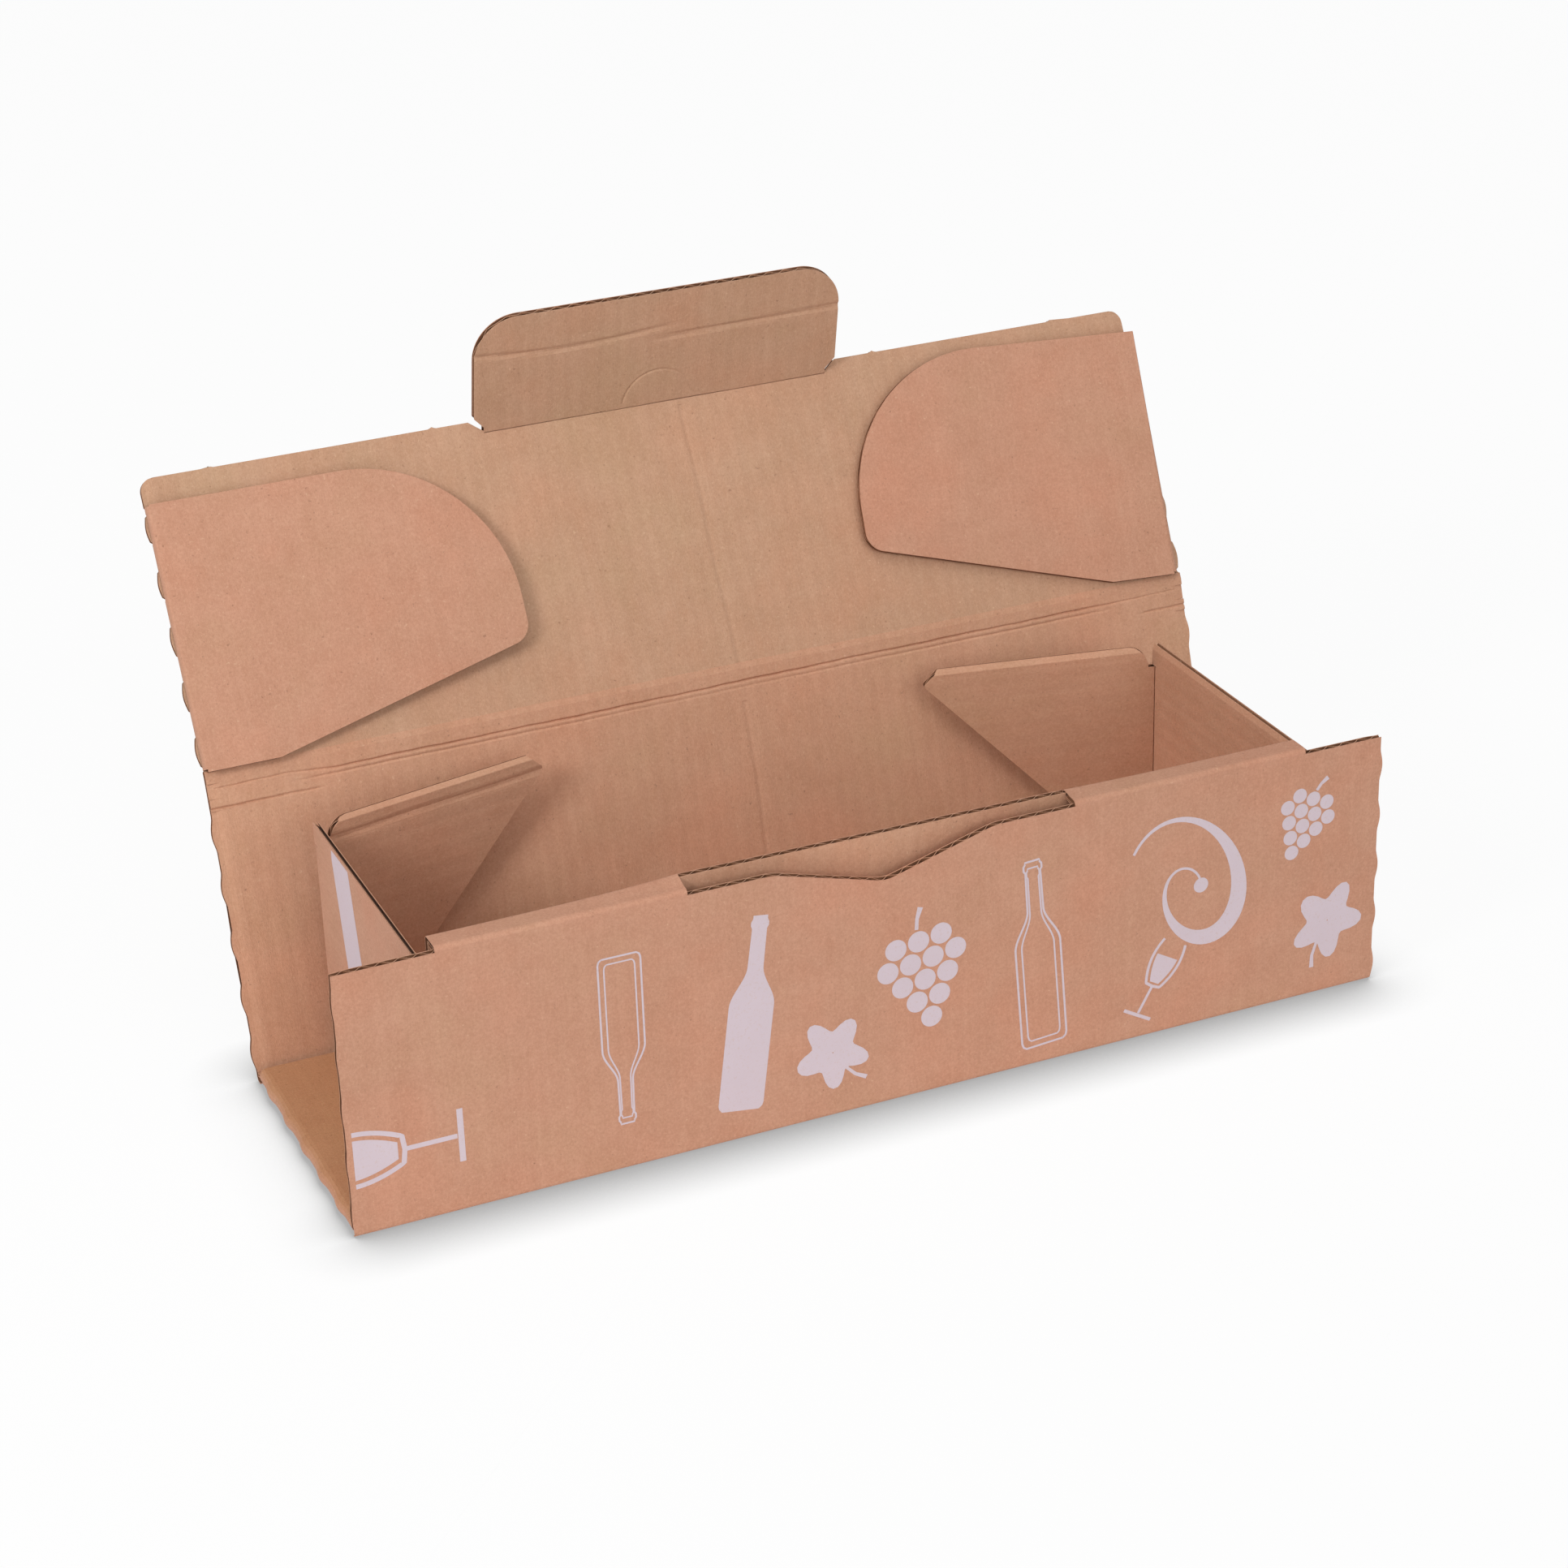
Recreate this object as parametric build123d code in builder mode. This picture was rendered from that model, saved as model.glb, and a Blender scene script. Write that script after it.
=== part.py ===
from build123d import *

import os
from math import cos, radians, sin, tan

# Bottle shipping box: one folded sheet of corrugated board, standing open, in millimetres.
# +X runs along the box, +Y from the front to the back and +Z up. The origin is the middle of
# the underside. The sheet runs from the tuck tab over the lid, the spine strip, the back wall
# and the bottom to the double front wall. At each end of the bottom it folds back on itself as
# a lining and then rises as the end wall, which leaves an open crush space outside that wall.
# Only the folds that move part the sheet into nodes.

# Box, outside sizes
LENGTH = 400.0
DEPTH = 117.5
HEIGHT = 103.0
BOARD = 2.9

# Open crush space between each end wall and the end of the box
CRUSH_DEPTH = 32.0

# Panels on the lid side, from crease to crease along the outer liner
STRIP_WIDTH = 10.0
LID_DEPTH = 109.9
LID_CORNER = 5.0

# How the open box stands: degrees from upright, leaning back
BACK_LEAN = 17.0
STRIP_LEAN = 17.0
LID_LEAN = 29.0

# Inside angle between two panels when the box is shut
BACK_SHUT = 90.0
SPINE_SHUT = 135.0
TAB_SHUT = 90.0

# Folds and the gaps between layers
CREASE_GAP = 0.15
LAYER_GAP = 0.3
FOLD_RADIUS = 1.5

# Scalloped cut along both ends of the sheet: its tongues stand past the ends
WAVE_PITCH = 20.5
WAVE_WIDTH = 10.0
WAVE_RISE = 1.2
WAVE_CLEARANCE = 0.3
FRONT_WAVE_SHIFT = -1.9
BACK_WAVE_SHIFT = -0.5
LID_WAVE_SHIFT = -4.45

# Double front wall, its slot for the tuck tab and its finger notch
ROLL_WIDTH = 10.2
RAW_DROP = 1.2
SLOT_LENGTH = 148.0
NOTCH_WIDTH = 84.6
NOTCH_DEPTH = 13.3
NOTCH_RADII = [60.0, 12.0, 60.0]

# Locking tabs of the inner front wall, in slots through the bottom
LOCK_WIDTH = 40.0
LOCK_SPACING = 168.0
LOCK_CLEARANCE = 0.25

# End walls
WALL_CLEARANCE = 0.3
WALL_FRONT_CLEARANCE = 0.7
WALL_BACK_CLEARANCE = 0.6
WALL_CREASE_RADIUS = 0.8

# Flaps at the front and back of the end walls: lengths from the crease, drops from the wall's top
FLAP_SLOT_CLEARANCE = 2.2
FLAP_FOOT = 7.5
FLAP_FOOT_LENGTH = 11.0
FLAP_TOP_DROP = 0.4
FLAP_TIP_DROP = 6.1
FLAP_TIP_CUT = 6.0
FLAP_SHOULDER_DROP = 8.7
FLAP_SHOULDER_LENGTH = 5.0
FLAP_SHOULDER_WIDTH = 7.5
FLAP_SHOULDER_RADIUS = 8.5
BACK_FLAP_SWING = 12.0

# Lid flaps, from their root and up from the lid's crease
LID_FLAP_GAP = 0.4
LID_FLAP_TAB_CLEARANCE = 1.1
LID_FLAP_FOOT = 1.6
LID_FLAP_TOP_DROP = 9.9
LID_FLAP_HEEL = 28.0
LID_FLAP_HEEL_RADIUS = 4.0
LID_FLAP_TOE = 26.7
LID_FLAP_TOE_RADIUS = 8.0
LID_FLAP_SIDE = 15.3
RIGHT_FLAP_SKEW = 1.75

# Tuck tab, from its crease
TAB_FOLD = 41.0
TAB_SETBACK = 3.7
TAB_LENGTH = 48.2
TAB_ROOT_WIDTH = 139.2
TAB_WIDTH = 147.0
TAB_FLARE = 4.3
TAB_CORNER = 17.0
TAB_NOTCH_WIDTH = 149.8
TAB_CLEARANCE = 0.3
THUMB_RADIUS = 14.4
THUMB_CUT = 0.5
THUMB_CUT_DEPTH = 1.2

# Places that follow from the sizes
HALF_LENGTH = LENGTH / 2
HALF_ROLL = HALF_LENGTH - CRUSH_DEPTH
BACK_HEIGHT = HEIGHT
FRONT = -DEPTH / 2
BACK = DEPTH / 2
RAW_TOP = HEIGHT - RAW_DROP
ROLL_INSIDE = FRONT + ROLL_WIDTH
LAYER_BASE = BOARD + LAYER_GAP
LAYER_TOP = LAYER_BASE + BOARD
END_FOLD = HALF_LENGTH - LAYER_TOP / 2
WALL_INSIDE = HALF_ROLL + WALL_CLEARANCE
WALL_OUTSIDE = WALL_INSIDE + BOARD
WALL_TOP = HEIGHT - BOARD
WALL_FRONT = FRONT + BOARD + WALL_FRONT_CLEARANCE
WALL_BACK = BACK - BOARD - WALL_BACK_CLEARANCE
FLAP_LENGTH = WALL_OUTSIDE - SLOT_LENGTH / 2 - FLAP_SLOT_CLEARANCE
FLAP_TOP = WALL_TOP - FLAP_TOP_DROP
FLAP_TIP = WALL_TOP - FLAP_TIP_DROP
FLAP_SHOULDER = WALL_TOP - FLAP_SHOULDER_DROP
LID_FLAP_REACH = HALF_LENGTH - TAB_ROOT_WIDTH / 2 - LID_FLAP_TAB_CLEARANCE
LID_FLAP_TOP = LID_DEPTH - LID_FLAP_TOP_DROP
LID_FLAP_CURVE = LID_FLAP_TOP - LID_FLAP_TOE - LID_FLAP_SIDE
TAB_CREASE = LID_DEPTH - TAB_SETBACK


def up(lean):
    """Direction up a panel that leans back."""
    return Vector(0, sin(radians(lean)), cos(radians(lean)))


def inward(lean):
    """Direction from a panel's outer liner to its inner liner."""
    return Vector(0, -cos(radians(lean)), sin(radians(lean)))


def face_plane(crease, lean):
    """Outer liner of a panel: x along the box, y up the panel, z into the board."""
    return Plane(origin=crease, x_dir=(1, 0, 0), z_dir=inward(lean))


def section_plane(crease, lean):
    """Section of a panel: x up the panel, y into the board."""
    return Plane(origin=crease, x_dir=up(lean), z_dir=(1, 0, 0))


def setback(shut_angle):
    """How far the inner liner stands back from a crease, so that the fold shuts."""
    return BOARD / tan(radians(shut_angle / 2))


def panel_section(length, foot_setback, head_setback=0.0, head_gap=0.0):
    """Draws the section of a panel, with its inner liner set back at the creases."""
    with BuildLine() as rim:
        Polyline(
            (CREASE_GAP, 0),
            (length - head_gap, 0),
            (length - head_gap - head_setback, BOARD),
            (CREASE_GAP + foot_setback, BOARD),
            close=True,
        )
    make_face(rim.line)


def tongues(foot, head, shift=0.0, root=HALF_LENGTH - BOARD, grow=0.0):
    """Draws the tongues at both ends of a panel that runs along y from foot to head."""
    steps = int((head - foot - WAVE_WIDTH - 2 * abs(shift)) / WAVE_PITCH)
    for number in range(steps + 1):
        centre = (foot + head) / 2 + shift + (number - steps / 2) * WAVE_PITCH
        low = centre - WAVE_WIDTH / 2 - grow
        high = centre + WAVE_WIDTH / 2 + grow
        with BuildLine() as rim:
            Polyline((HALF_LENGTH, low), (root, low), (root, high), (HALF_LENGTH, high))
            ThreePointArc(
                (HALF_LENGTH, high), (HALF_LENGTH + WAVE_RISE + grow, centre), (HALF_LENGTH, low)
            )
        make_face(rim.line)
    mirror(about=Plane.YZ)


def wall_flap_outline():
    """Draws a flap of an end wall: x from its crease, y up from the floor."""
    with BuildLine() as rim:
        Polyline(
            (FLAP_SHOULDER_LENGTH, FLAP_SHOULDER),
            (0, FLAP_SHOULDER),
            (0, FLAP_FOOT),
            (FLAP_FOOT_LENGTH, FLAP_FOOT),
            (FLAP_LENGTH, FLAP_TIP),
            (FLAP_LENGTH - FLAP_TIP_CUT, FLAP_TOP),
            (FLAP_SHOULDER_LENGTH + FLAP_SHOULDER_WIDTH, FLAP_TOP),
        )
        RadiusArc(
            (FLAP_SHOULDER_LENGTH + FLAP_SHOULDER_WIDTH, FLAP_TOP),
            (FLAP_SHOULDER_LENGTH, FLAP_SHOULDER),
            FLAP_SHOULDER_RADIUS,
        )
    make_face(rim.line)


# Creases of the panels on the lid side, as the open box stands
back_crease = Vector(0, BACK, 0)
strip_crease = back_crease + up(BACK_LEAN) * BACK_HEIGHT
lid_crease = strip_crease + up(STRIP_LEAN) * STRIP_WIDTH
tab_crease = lid_crease + up(LID_LEAN) * TAB_CREASE
lid_plane = face_plane(lid_crease, LID_LEAN)


# Right end: lining strip, end wall and front flap
with BuildPart() as end_wall:
    # Lining and wall in one bent length, and the round fold that joins them to the bottom
    with BuildSketch(Plane.XZ.offset(-WALL_BACK)):
        with BuildLine():
            FilletPolyline(
                (END_FOLD, LAYER_TOP),
                (WALL_OUTSIDE, LAYER_TOP),
                (WALL_OUTSIDE, WALL_TOP),
                radius=WALL_CREASE_RADIUS,
            )
            offset(amount=BOARD, side=Side.LEFT, closed=True)
        make_face()
        with Locations((END_FOLD, LAYER_TOP / 2)):
            Circle(LAYER_TOP / 2)
    extrude(amount=WALL_BACK - WALL_FRONT)

    # Mouths above the bottom's tongues
    with BuildSketch(Plane.XY.offset(BOARD)):
        tongues(WALL_FRONT, WALL_BACK, root=HALF_LENGTH - WAVE_RISE, grow=WAVE_CLEARANCE)
    extrude(amount=LAYER_TOP, mode=Mode.SUBTRACT)

    # The wall's inner liner stands back at the back flap's crease
    with BuildSketch(Plane.XY.offset(FLAP_FOOT - LAYER_GAP)):
        with BuildLine():
            Polyline(
                (WALL_OUTSIDE, WALL_BACK - CREASE_GAP),
                (WALL_INSIDE, WALL_BACK - CREASE_GAP - BOARD),
                (WALL_INSIDE - BOARD, WALL_BACK - CREASE_GAP - BOARD),
                (WALL_INSIDE - BOARD, BACK),
                (WALL_OUTSIDE + BOARD, BACK),
                (WALL_OUTSIDE + BOARD, WALL_BACK - CREASE_GAP),
                close=True,
            )
        make_face()
    extrude(amount=FLAP_SHOULDER - FLAP_FOOT + 2 * LAYER_GAP, mode=Mode.SUBTRACT)

    # Front flap, tucked between the two layers of the front wall
    with BuildSketch(Plane(origin=(WALL_OUTSIDE, WALL_FRONT, 0), x_dir=(-1, 0, 0), z_dir=(0, 1, 0))):
        wall_flap_outline()
    extrude(amount=BOARD)


# Tray: bottom, double front wall and both end walls
with BuildPart() as tray:
    # Bottom and outer front wall
    with BuildSketch(Plane.YZ):
        with BuildLine():
            FilletPolyline((BACK - CREASE_GAP, 0), (FRONT, 0), (FRONT, RAW_TOP), radius=FOLD_RADIUS)
            offset(amount=BOARD, side=Side.RIGHT, closed=True)
        make_face()
    extrude(amount=HALF_LENGTH, both=True)

    # The bottom's inner liner stands back at the back wall's crease
    with BuildSketch(Plane.YZ):
        with BuildLine():
            Polyline(
                (BACK - CREASE_GAP, 0),
                (BACK - CREASE_GAP - setback(BACK_SHUT), BOARD),
                (BACK - CREASE_GAP - setback(BACK_SHUT), LAYER_TOP),
                (BACK, LAYER_TOP),
                (BACK, 0),
                close=True,
            )
        make_face()
    extrude(amount=LENGTH, both=True, mode=Mode.SUBTRACT)

    # Tongues at the ends of the outer front wall
    with BuildSketch(Plane.XZ.offset(-FRONT)):
        tongues(0, RAW_TOP, FRONT_WAVE_SHIFT)
    extrude(amount=-BOARD)

    # Room for the round folds at both ends of the bottom, then the bottom's tongues
    with BuildSketch(Plane.XY):
        with Locations((-HALF_LENGTH, WALL_FRONT), (END_FOLD, WALL_FRONT)):
            Rectangle(LAYER_TOP / 2, WALL_BACK - WALL_FRONT, align=Align.MIN)
    extrude(amount=BOARD, mode=Mode.SUBTRACT)
    with BuildSketch(Plane.XY):
        tongues(WALL_FRONT, WALL_BACK, root=END_FOLD - BOARD)
    extrude(amount=BOARD)

    # Roll-over strip and inner front wall
    with BuildSketch(Plane.YZ):
        with BuildLine():
            FilletPolyline(
                (FRONT, RAW_TOP - BOARD),
                (FRONT, HEIGHT),
                (ROLL_INSIDE, HEIGHT),
                (ROLL_INSIDE, LAYER_BASE),
                radius=FOLD_RADIUS,
            )
            offset(amount=BOARD, side=Side.RIGHT, closed=True)
        make_face()
    extrude(amount=HALF_ROLL, both=True)

    # Slot for the tuck tab: the strip is cut away and both layers keep a raw edge
    with BuildSketch(Plane.YZ):
        with Locations((FRONT + ROLL_WIDTH / 2, RAW_TOP)):
            Rectangle(ROLL_WIDTH + BOARD, HEIGHT, align=(Align.CENTER, Align.MIN))
        with Locations((FRONT + ROLL_WIDTH / 2, WALL_TOP - BOARD)):
            Rectangle(ROLL_WIDTH - 2 * BOARD, HEIGHT, align=(Align.CENTER, Align.MIN))
    extrude(amount=SLOT_LENGTH / 2, both=True, mode=Mode.SUBTRACT)

    # Finger notch in the outer layer
    with BuildSketch(Plane.XZ.offset(-FRONT)):
        with BuildLine():
            FilletPolyline(
                (-SLOT_LENGTH / 2 + BOARD, RAW_TOP),
                (-NOTCH_WIDTH / 2, RAW_TOP),
                (0, RAW_TOP - NOTCH_DEPTH),
                (NOTCH_WIDTH / 2, RAW_TOP),
                (SLOT_LENGTH / 2 - BOARD, RAW_TOP),
                radius=NOTCH_RADII,
            )
            Polyline(
                (-SLOT_LENGTH / 2 + BOARD, RAW_TOP),
                (-SLOT_LENGTH / 2 + BOARD, HEIGHT),
                (SLOT_LENGTH / 2 - BOARD, HEIGHT),
                (SLOT_LENGTH / 2 - BOARD, RAW_TOP),
            )
        make_face()
    extrude(amount=-BOARD, mode=Mode.SUBTRACT)

    # Slots through the bottom, and the locking tabs of the inner front wall that stand in them
    with BuildSketch(Plane.XY):
        with Locations((0, ROLL_INSIDE - BOARD / 2)):
            with GridLocations(LOCK_SPACING, 0, 2, 1):
                Rectangle(LOCK_WIDTH + 2 * LOCK_CLEARANCE, BOARD + 2 * LOCK_CLEARANCE)
    extrude(amount=BOARD, mode=Mode.SUBTRACT)
    with BuildSketch(Plane.XY.offset(LOCK_CLEARANCE)):
        with Locations((0, ROLL_INSIDE - BOARD / 2)):
            with GridLocations(LOCK_SPACING, 0, 2, 1):
                Rectangle(LOCK_WIDTH, BOARD)
    extrude(amount=LAYER_TOP)

    add(end_wall.part)
    mirror(end_wall.part, about=Plane.YZ)
tray.part.label = "tray"


# Back wall, with its scalloped ends
with BuildPart() as back_wall:
    with BuildSketch(section_plane(back_crease, BACK_LEAN)):
        panel_section(BACK_HEIGHT, setback(BACK_SHUT), setback(SPINE_SHUT), CREASE_GAP)
    extrude(amount=LENGTH, both=True)
    with BuildSketch(face_plane(back_crease, BACK_LEAN)):
        Rectangle(LENGTH, BACK_HEIGHT, align=(Align.CENTER, Align.MIN))
        tongues(0, BACK_HEIGHT, BACK_WAVE_SHIFT)
    extrude(amount=BOARD, mode=Mode.INTERSECT)
back_wall.part.label = "back_wall"


# Spine strip between the back wall and the lid
with BuildPart() as spine_strip:
    with BuildSketch(section_plane(strip_crease, STRIP_LEAN)):
        panel_section(STRIP_WIDTH, setback(SPINE_SHUT), setback(SPINE_SHUT), CREASE_GAP)
    extrude(amount=HALF_LENGTH, both=True)
spine_strip.part.label = "spine_strip"


# Lid, with its scalloped ends and the notch that the tuck tab folds in
with BuildPart() as lid:
    with BuildSketch(section_plane(lid_crease, LID_LEAN)):
        panel_section(LID_DEPTH, setback(SPINE_SHUT))
    extrude(amount=LENGTH, both=True)
    with BuildSketch(lid_plane) as lid_outline:
        Rectangle(LENGTH, LID_DEPTH, align=(Align.CENTER, Align.MIN))
        fillet(lid_outline.vertices().group_by(Axis.Y)[-1], LID_CORNER)
        with BuildLine():
            Polyline(
                (-TAB_NOTCH_WIDTH / 2, LID_DEPTH),
                (-TAB_ROOT_WIDTH / 2 - TAB_CLEARANCE, TAB_CREASE - CREASE_GAP),
                (TAB_ROOT_WIDTH / 2 + TAB_CLEARANCE, TAB_CREASE - CREASE_GAP),
                (TAB_NOTCH_WIDTH / 2, LID_DEPTH),
                close=True,
            )
        make_face(mode=Mode.SUBTRACT)
        tongues(0, LID_DEPTH, LID_WAVE_SHIFT)
    extrude(amount=BOARD, mode=Mode.INTERSECT)

    # The inner liner stands back at the tab's crease
    with BuildSketch(section_plane(lid_crease, LID_LEAN)):
        with BuildLine():
            Polyline(
                (TAB_CREASE - CREASE_GAP, 0),
                (TAB_CREASE - CREASE_GAP - setback(TAB_SHUT), BOARD),
                (TAB_CREASE - CREASE_GAP, BOARD),
                close=True,
            )
        make_face()
    extrude(amount=TAB_ROOT_WIDTH / 2 + TAB_CLEARANCE, both=True, mode=Mode.SUBTRACT)
lid.part.label = "lid"


# Tuck tab, with the half-moon cut above its crease
with BuildPart() as tuck_tab:
    tab_lean = LID_LEAN - TAB_FOLD
    tab_plane = face_plane(tab_crease, tab_lean)
    with BuildSketch(section_plane(tab_crease, tab_lean)):
        panel_section(TAB_LENGTH, setback(TAB_SHUT))
    extrude(amount=TAB_WIDTH, both=True)
    with BuildSketch(tab_plane) as tab_outline:
        with BuildLine():
            Polyline(
                (0, 0),
                (TAB_ROOT_WIDTH / 2, 0),
                (TAB_ROOT_WIDTH / 2, LAYER_BASE),
                (TAB_WIDTH / 2, LAYER_BASE + TAB_FLARE),
                (TAB_WIDTH / 2, TAB_LENGTH),
                (0, TAB_LENGTH),
            )
            mirror(about=Plane.YZ)
        make_face()
        fillet(tab_outline.vertices().group_by(Axis.Y)[-1].filter_by(lambda v: abs(v.X) > 1), TAB_CORNER)
    extrude(amount=BOARD, mode=Mode.INTERSECT)
    with BuildSketch(tab_plane.offset(BOARD)):
        with Locations((0, setback(180 - TAB_FOLD))):
            Circle(THUMB_RADIUS + THUMB_CUT / 2)
            Circle(THUMB_RADIUS - THUMB_CUT / 2, mode=Mode.SUBTRACT)
            Rectangle(3 * THUMB_RADIUS, 2 * THUMB_RADIUS, align=(Align.CENTER, Align.MAX), mode=Mode.SUBTRACT)
    extrude(amount=-THUMB_CUT_DEPTH, mode=Mode.SUBTRACT)
tuck_tab.part.label = "tuck_tab"


# A lid flap, drawn flat beside the right end of the lid, with notches for the lid's tongues
with BuildPart() as flat_flap:
    with BuildSketch(lid_plane):
        with BuildLine():
            root = HALF_LENGTH + LID_FLAP_GAP
            rim = FilletPolyline(
                (root, LID_FLAP_FOOT),
                (root + LID_FLAP_HEEL, LID_FLAP_FOOT),
                (root + LID_FLAP_REACH, LID_FLAP_TOE),
                (root + LID_FLAP_REACH, LID_FLAP_TOP),
                (root, LID_FLAP_TOP),
                radius=[LID_FLAP_HEEL_RADIUS, LID_FLAP_TOE_RADIUS, LID_FLAP_CURVE],
            )
            Line(rim @ 1, rim @ 0)
        make_face()
    extrude(amount=BOARD)
    with BuildSketch(lid_plane):
        tongues(0, LID_DEPTH, LID_WAVE_SHIFT, grow=WAVE_CLEARANCE)
    extrude(amount=BOARD, mode=Mode.SUBTRACT)

# Creases of the lid flaps: each flap folds through a half turn onto the lid
flap_crease = Vector(HALF_LENGTH + LID_FLAP_GAP / 2, 0, 0)
flap_crease += lid_crease + up(LID_LEAN) * ((LID_FLAP_FOOT + LID_FLAP_TOP) / 2)
flap_crease += inward(LID_LEAN) * (BOARD + LAYER_GAP / 2)
right_fold = Axis(
    flap_crease,
    up(LID_LEAN) * cos(radians(RIGHT_FLAP_SKEW)) + Vector(1, 0, 0) * sin(radians(RIGHT_FLAP_SKEW)),
)
left_fold = Axis((-flap_crease.X, flap_crease.Y, flap_crease.Z), up(LID_LEAN))

with BuildPart() as lid_flap_right:
    add(flat_flap.part.rotate(right_fold, 180))
lid_flap_right.part.label = "lid_flap_right"

with BuildPart() as lid_flap_left:
    add(flat_flap.part.mirror(Plane.YZ).rotate(left_fold, 180))
lid_flap_left.part.label = "lid_flap_left"


# Back flaps, hinged on the end walls and swung a little towards the back
with BuildPart() as back_flap_right:
    swing = radians(BACK_FLAP_SWING)
    flap_way = Vector(-cos(swing), sin(swing), 0)
    with BuildSketch(Plane(origin=(WALL_OUTSIDE, WALL_BACK, 0), x_dir=flap_way, z_dir=(0, 0, 1))):
        panel_section(FLAP_LENGTH, setback(BACK_SHUT))
    extrude(amount=HEIGHT)
    with BuildSketch(
        Plane(origin=(WALL_OUTSIDE, WALL_BACK, 0), x_dir=flap_way, z_dir=(sin(swing), cos(swing), 0))
    ):
        wall_flap_outline()
    extrude(amount=-BOARD, mode=Mode.INTERSECT)
back_flap_right.part.label = "back_flap_right"

with BuildPart() as back_flap_left:
    mirror(back_flap_right.part, about=Plane.YZ)
back_flap_left.part.label = "back_flap_left"


os.makedirs("parts", exist_ok=True)
export_step(tray.part, "parts/tray.step")
export_step(back_wall.part, "parts/back_wall.step")
export_step(spine_strip.part, "parts/spine_strip.step")
export_step(lid.part, "parts/lid.step")
export_step(tuck_tab.part, "parts/tuck_tab.step")
export_step(lid_flap_left.part, "parts/lid_flap_left.step")
export_step(lid_flap_right.part, "parts/lid_flap_right.step")
export_step(back_flap_left.part, "parts/back_flap_left.step")
export_step(back_flap_right.part, "parts/back_flap_right.step")
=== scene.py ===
from math import cos, pi, radians, sin

import bpy
import numpy as np
from mathutils import Matrix, Vector


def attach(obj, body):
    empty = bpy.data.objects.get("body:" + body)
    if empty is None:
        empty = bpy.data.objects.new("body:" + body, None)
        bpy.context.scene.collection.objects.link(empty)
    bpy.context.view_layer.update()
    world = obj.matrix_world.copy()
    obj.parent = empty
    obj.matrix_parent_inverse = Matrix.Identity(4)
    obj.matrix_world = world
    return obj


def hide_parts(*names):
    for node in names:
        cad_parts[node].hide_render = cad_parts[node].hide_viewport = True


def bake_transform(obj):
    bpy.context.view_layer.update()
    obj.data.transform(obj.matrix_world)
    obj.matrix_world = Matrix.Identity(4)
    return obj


# Bottle shipping box, folded from one sheet of corrugated board. Each panel is two paper liners
# with a fluted sheet between them, laid out flat in millimetres and carried to where it is folded.

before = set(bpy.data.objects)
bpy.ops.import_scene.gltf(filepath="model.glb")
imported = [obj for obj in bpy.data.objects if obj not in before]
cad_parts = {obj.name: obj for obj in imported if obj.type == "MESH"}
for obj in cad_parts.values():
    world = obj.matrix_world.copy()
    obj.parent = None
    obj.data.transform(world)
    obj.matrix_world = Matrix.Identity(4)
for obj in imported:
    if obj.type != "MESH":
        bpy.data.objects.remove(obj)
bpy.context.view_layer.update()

# Sizes of the box, in millimetres, and its leans and folds, in degrees
LENGTH, DEPTH, HEIGHT = 400.0, 117.5, 103.0
END, FRONT, BACK = LENGTH / 2, -DEPTH / 2, DEPTH / 2
BOARD, LINER, FLUTE_PAPER = 2.9, 0.36, 0.3
PITCH = LENGTH / 61
STRIP_WIDTH, LID_DEPTH = 10.0, 109.9
BACK_LEAN, STRIP_LEAN, LID_LEAN, TAB_FOLD = 17.0, 17.0, 29.0, 41.0
LYING, TAB_LEAN = 90.0, LID_LEAN - TAB_FOLD
RAW_TOP, ROLL_INSIDE = HEIGHT - 2.2, FRONT + 10.2
ROLL_LEFT, ROLL_RIGHT = -164.0, 168.0
SLOT_LENGTH, NOTCH_WIDTH, NOTCH_DEPTH = 148.0, 84.6, 12.0
LAYER_BASE, LAYER_TOP = 3.2, 6.1
END_FOLD = END - LAYER_TOP / 2
WALL_INSIDE, WALL_TOP = 168.3, HEIGHT - BOARD
WALL_OUTSIDE = WALL_INSIDE + BOARD
WALL_FRONT, WALL_BACK = FRONT + 3.6, BACK - 3.5
FLAP_FOOT, FLAP_SHOULDER, FLAP_TOP, FLAP_LENGTH = 7.5, WALL_TOP - 8.7, WALL_TOP - 0.4, 95.0
LID_END, LID_ROUND = END - 1.0, 5.0
LID_FLAP_FOOT, LID_FLAP_TOP = 1.6, 100.0
LID_FLAP_REACH, LID_FLAP_KNEE, LID_FLAP_TOE = 129.3, 28.0, 26.7
BACK_FLAP_SWING, RIGHT_FLAP_SKEW = 12.0, 1.75
TAB_CREASE, TAB_LENGTH, TAB_ROOT, TAB_WIDTH, TAB_ROUND = LID_DEPTH - 3.7, 48.2, 139.2, 147.0, 17.0
MOON_RADIUS, MOON_REACH = 14.4, 17.0
WAVE_PITCH, WAVE_WIDTH, WAVE_RISE = 20.5, 12.5, 1.0
LOCK_SPACING, LOCK_WIDTH, LOCK_GAP = 168.0, 40.0, 0.25

# The lid's tongues: their shift along its end, and half the width of the cut round each
LID_TONGUES, TONGUE_CUT = -4.45, 5.3
# Folded board at a crease: how far it reaches, and the bend's radius outside and inside
CREASE, SPINE_CREASE = 3.3, 2.1
BEND_OUTSIDE, BEND_INSIDE = 1.9, 0.3
ROLL_START = HEIGHT - BEND_OUTSIDE
# Two columns of a grid this close make a sheer step in an edge
STEP = 0.02

SIDES = ((-1, "left"), (1, "right"))
SIDEWAYS, BACKWARD, UPWARD = np.eye(3)


def lean_up(lean):
    """Direction up a panel that leans back, in degrees from upright."""
    return np.array([0.0, sin(radians(lean)), cos(radians(lean))])


def lean_in(lean):
    """Direction from a panel's outer liner to its inner liner."""
    return np.array([0.0, -cos(radians(lean)), sin(radians(lean))])


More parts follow.
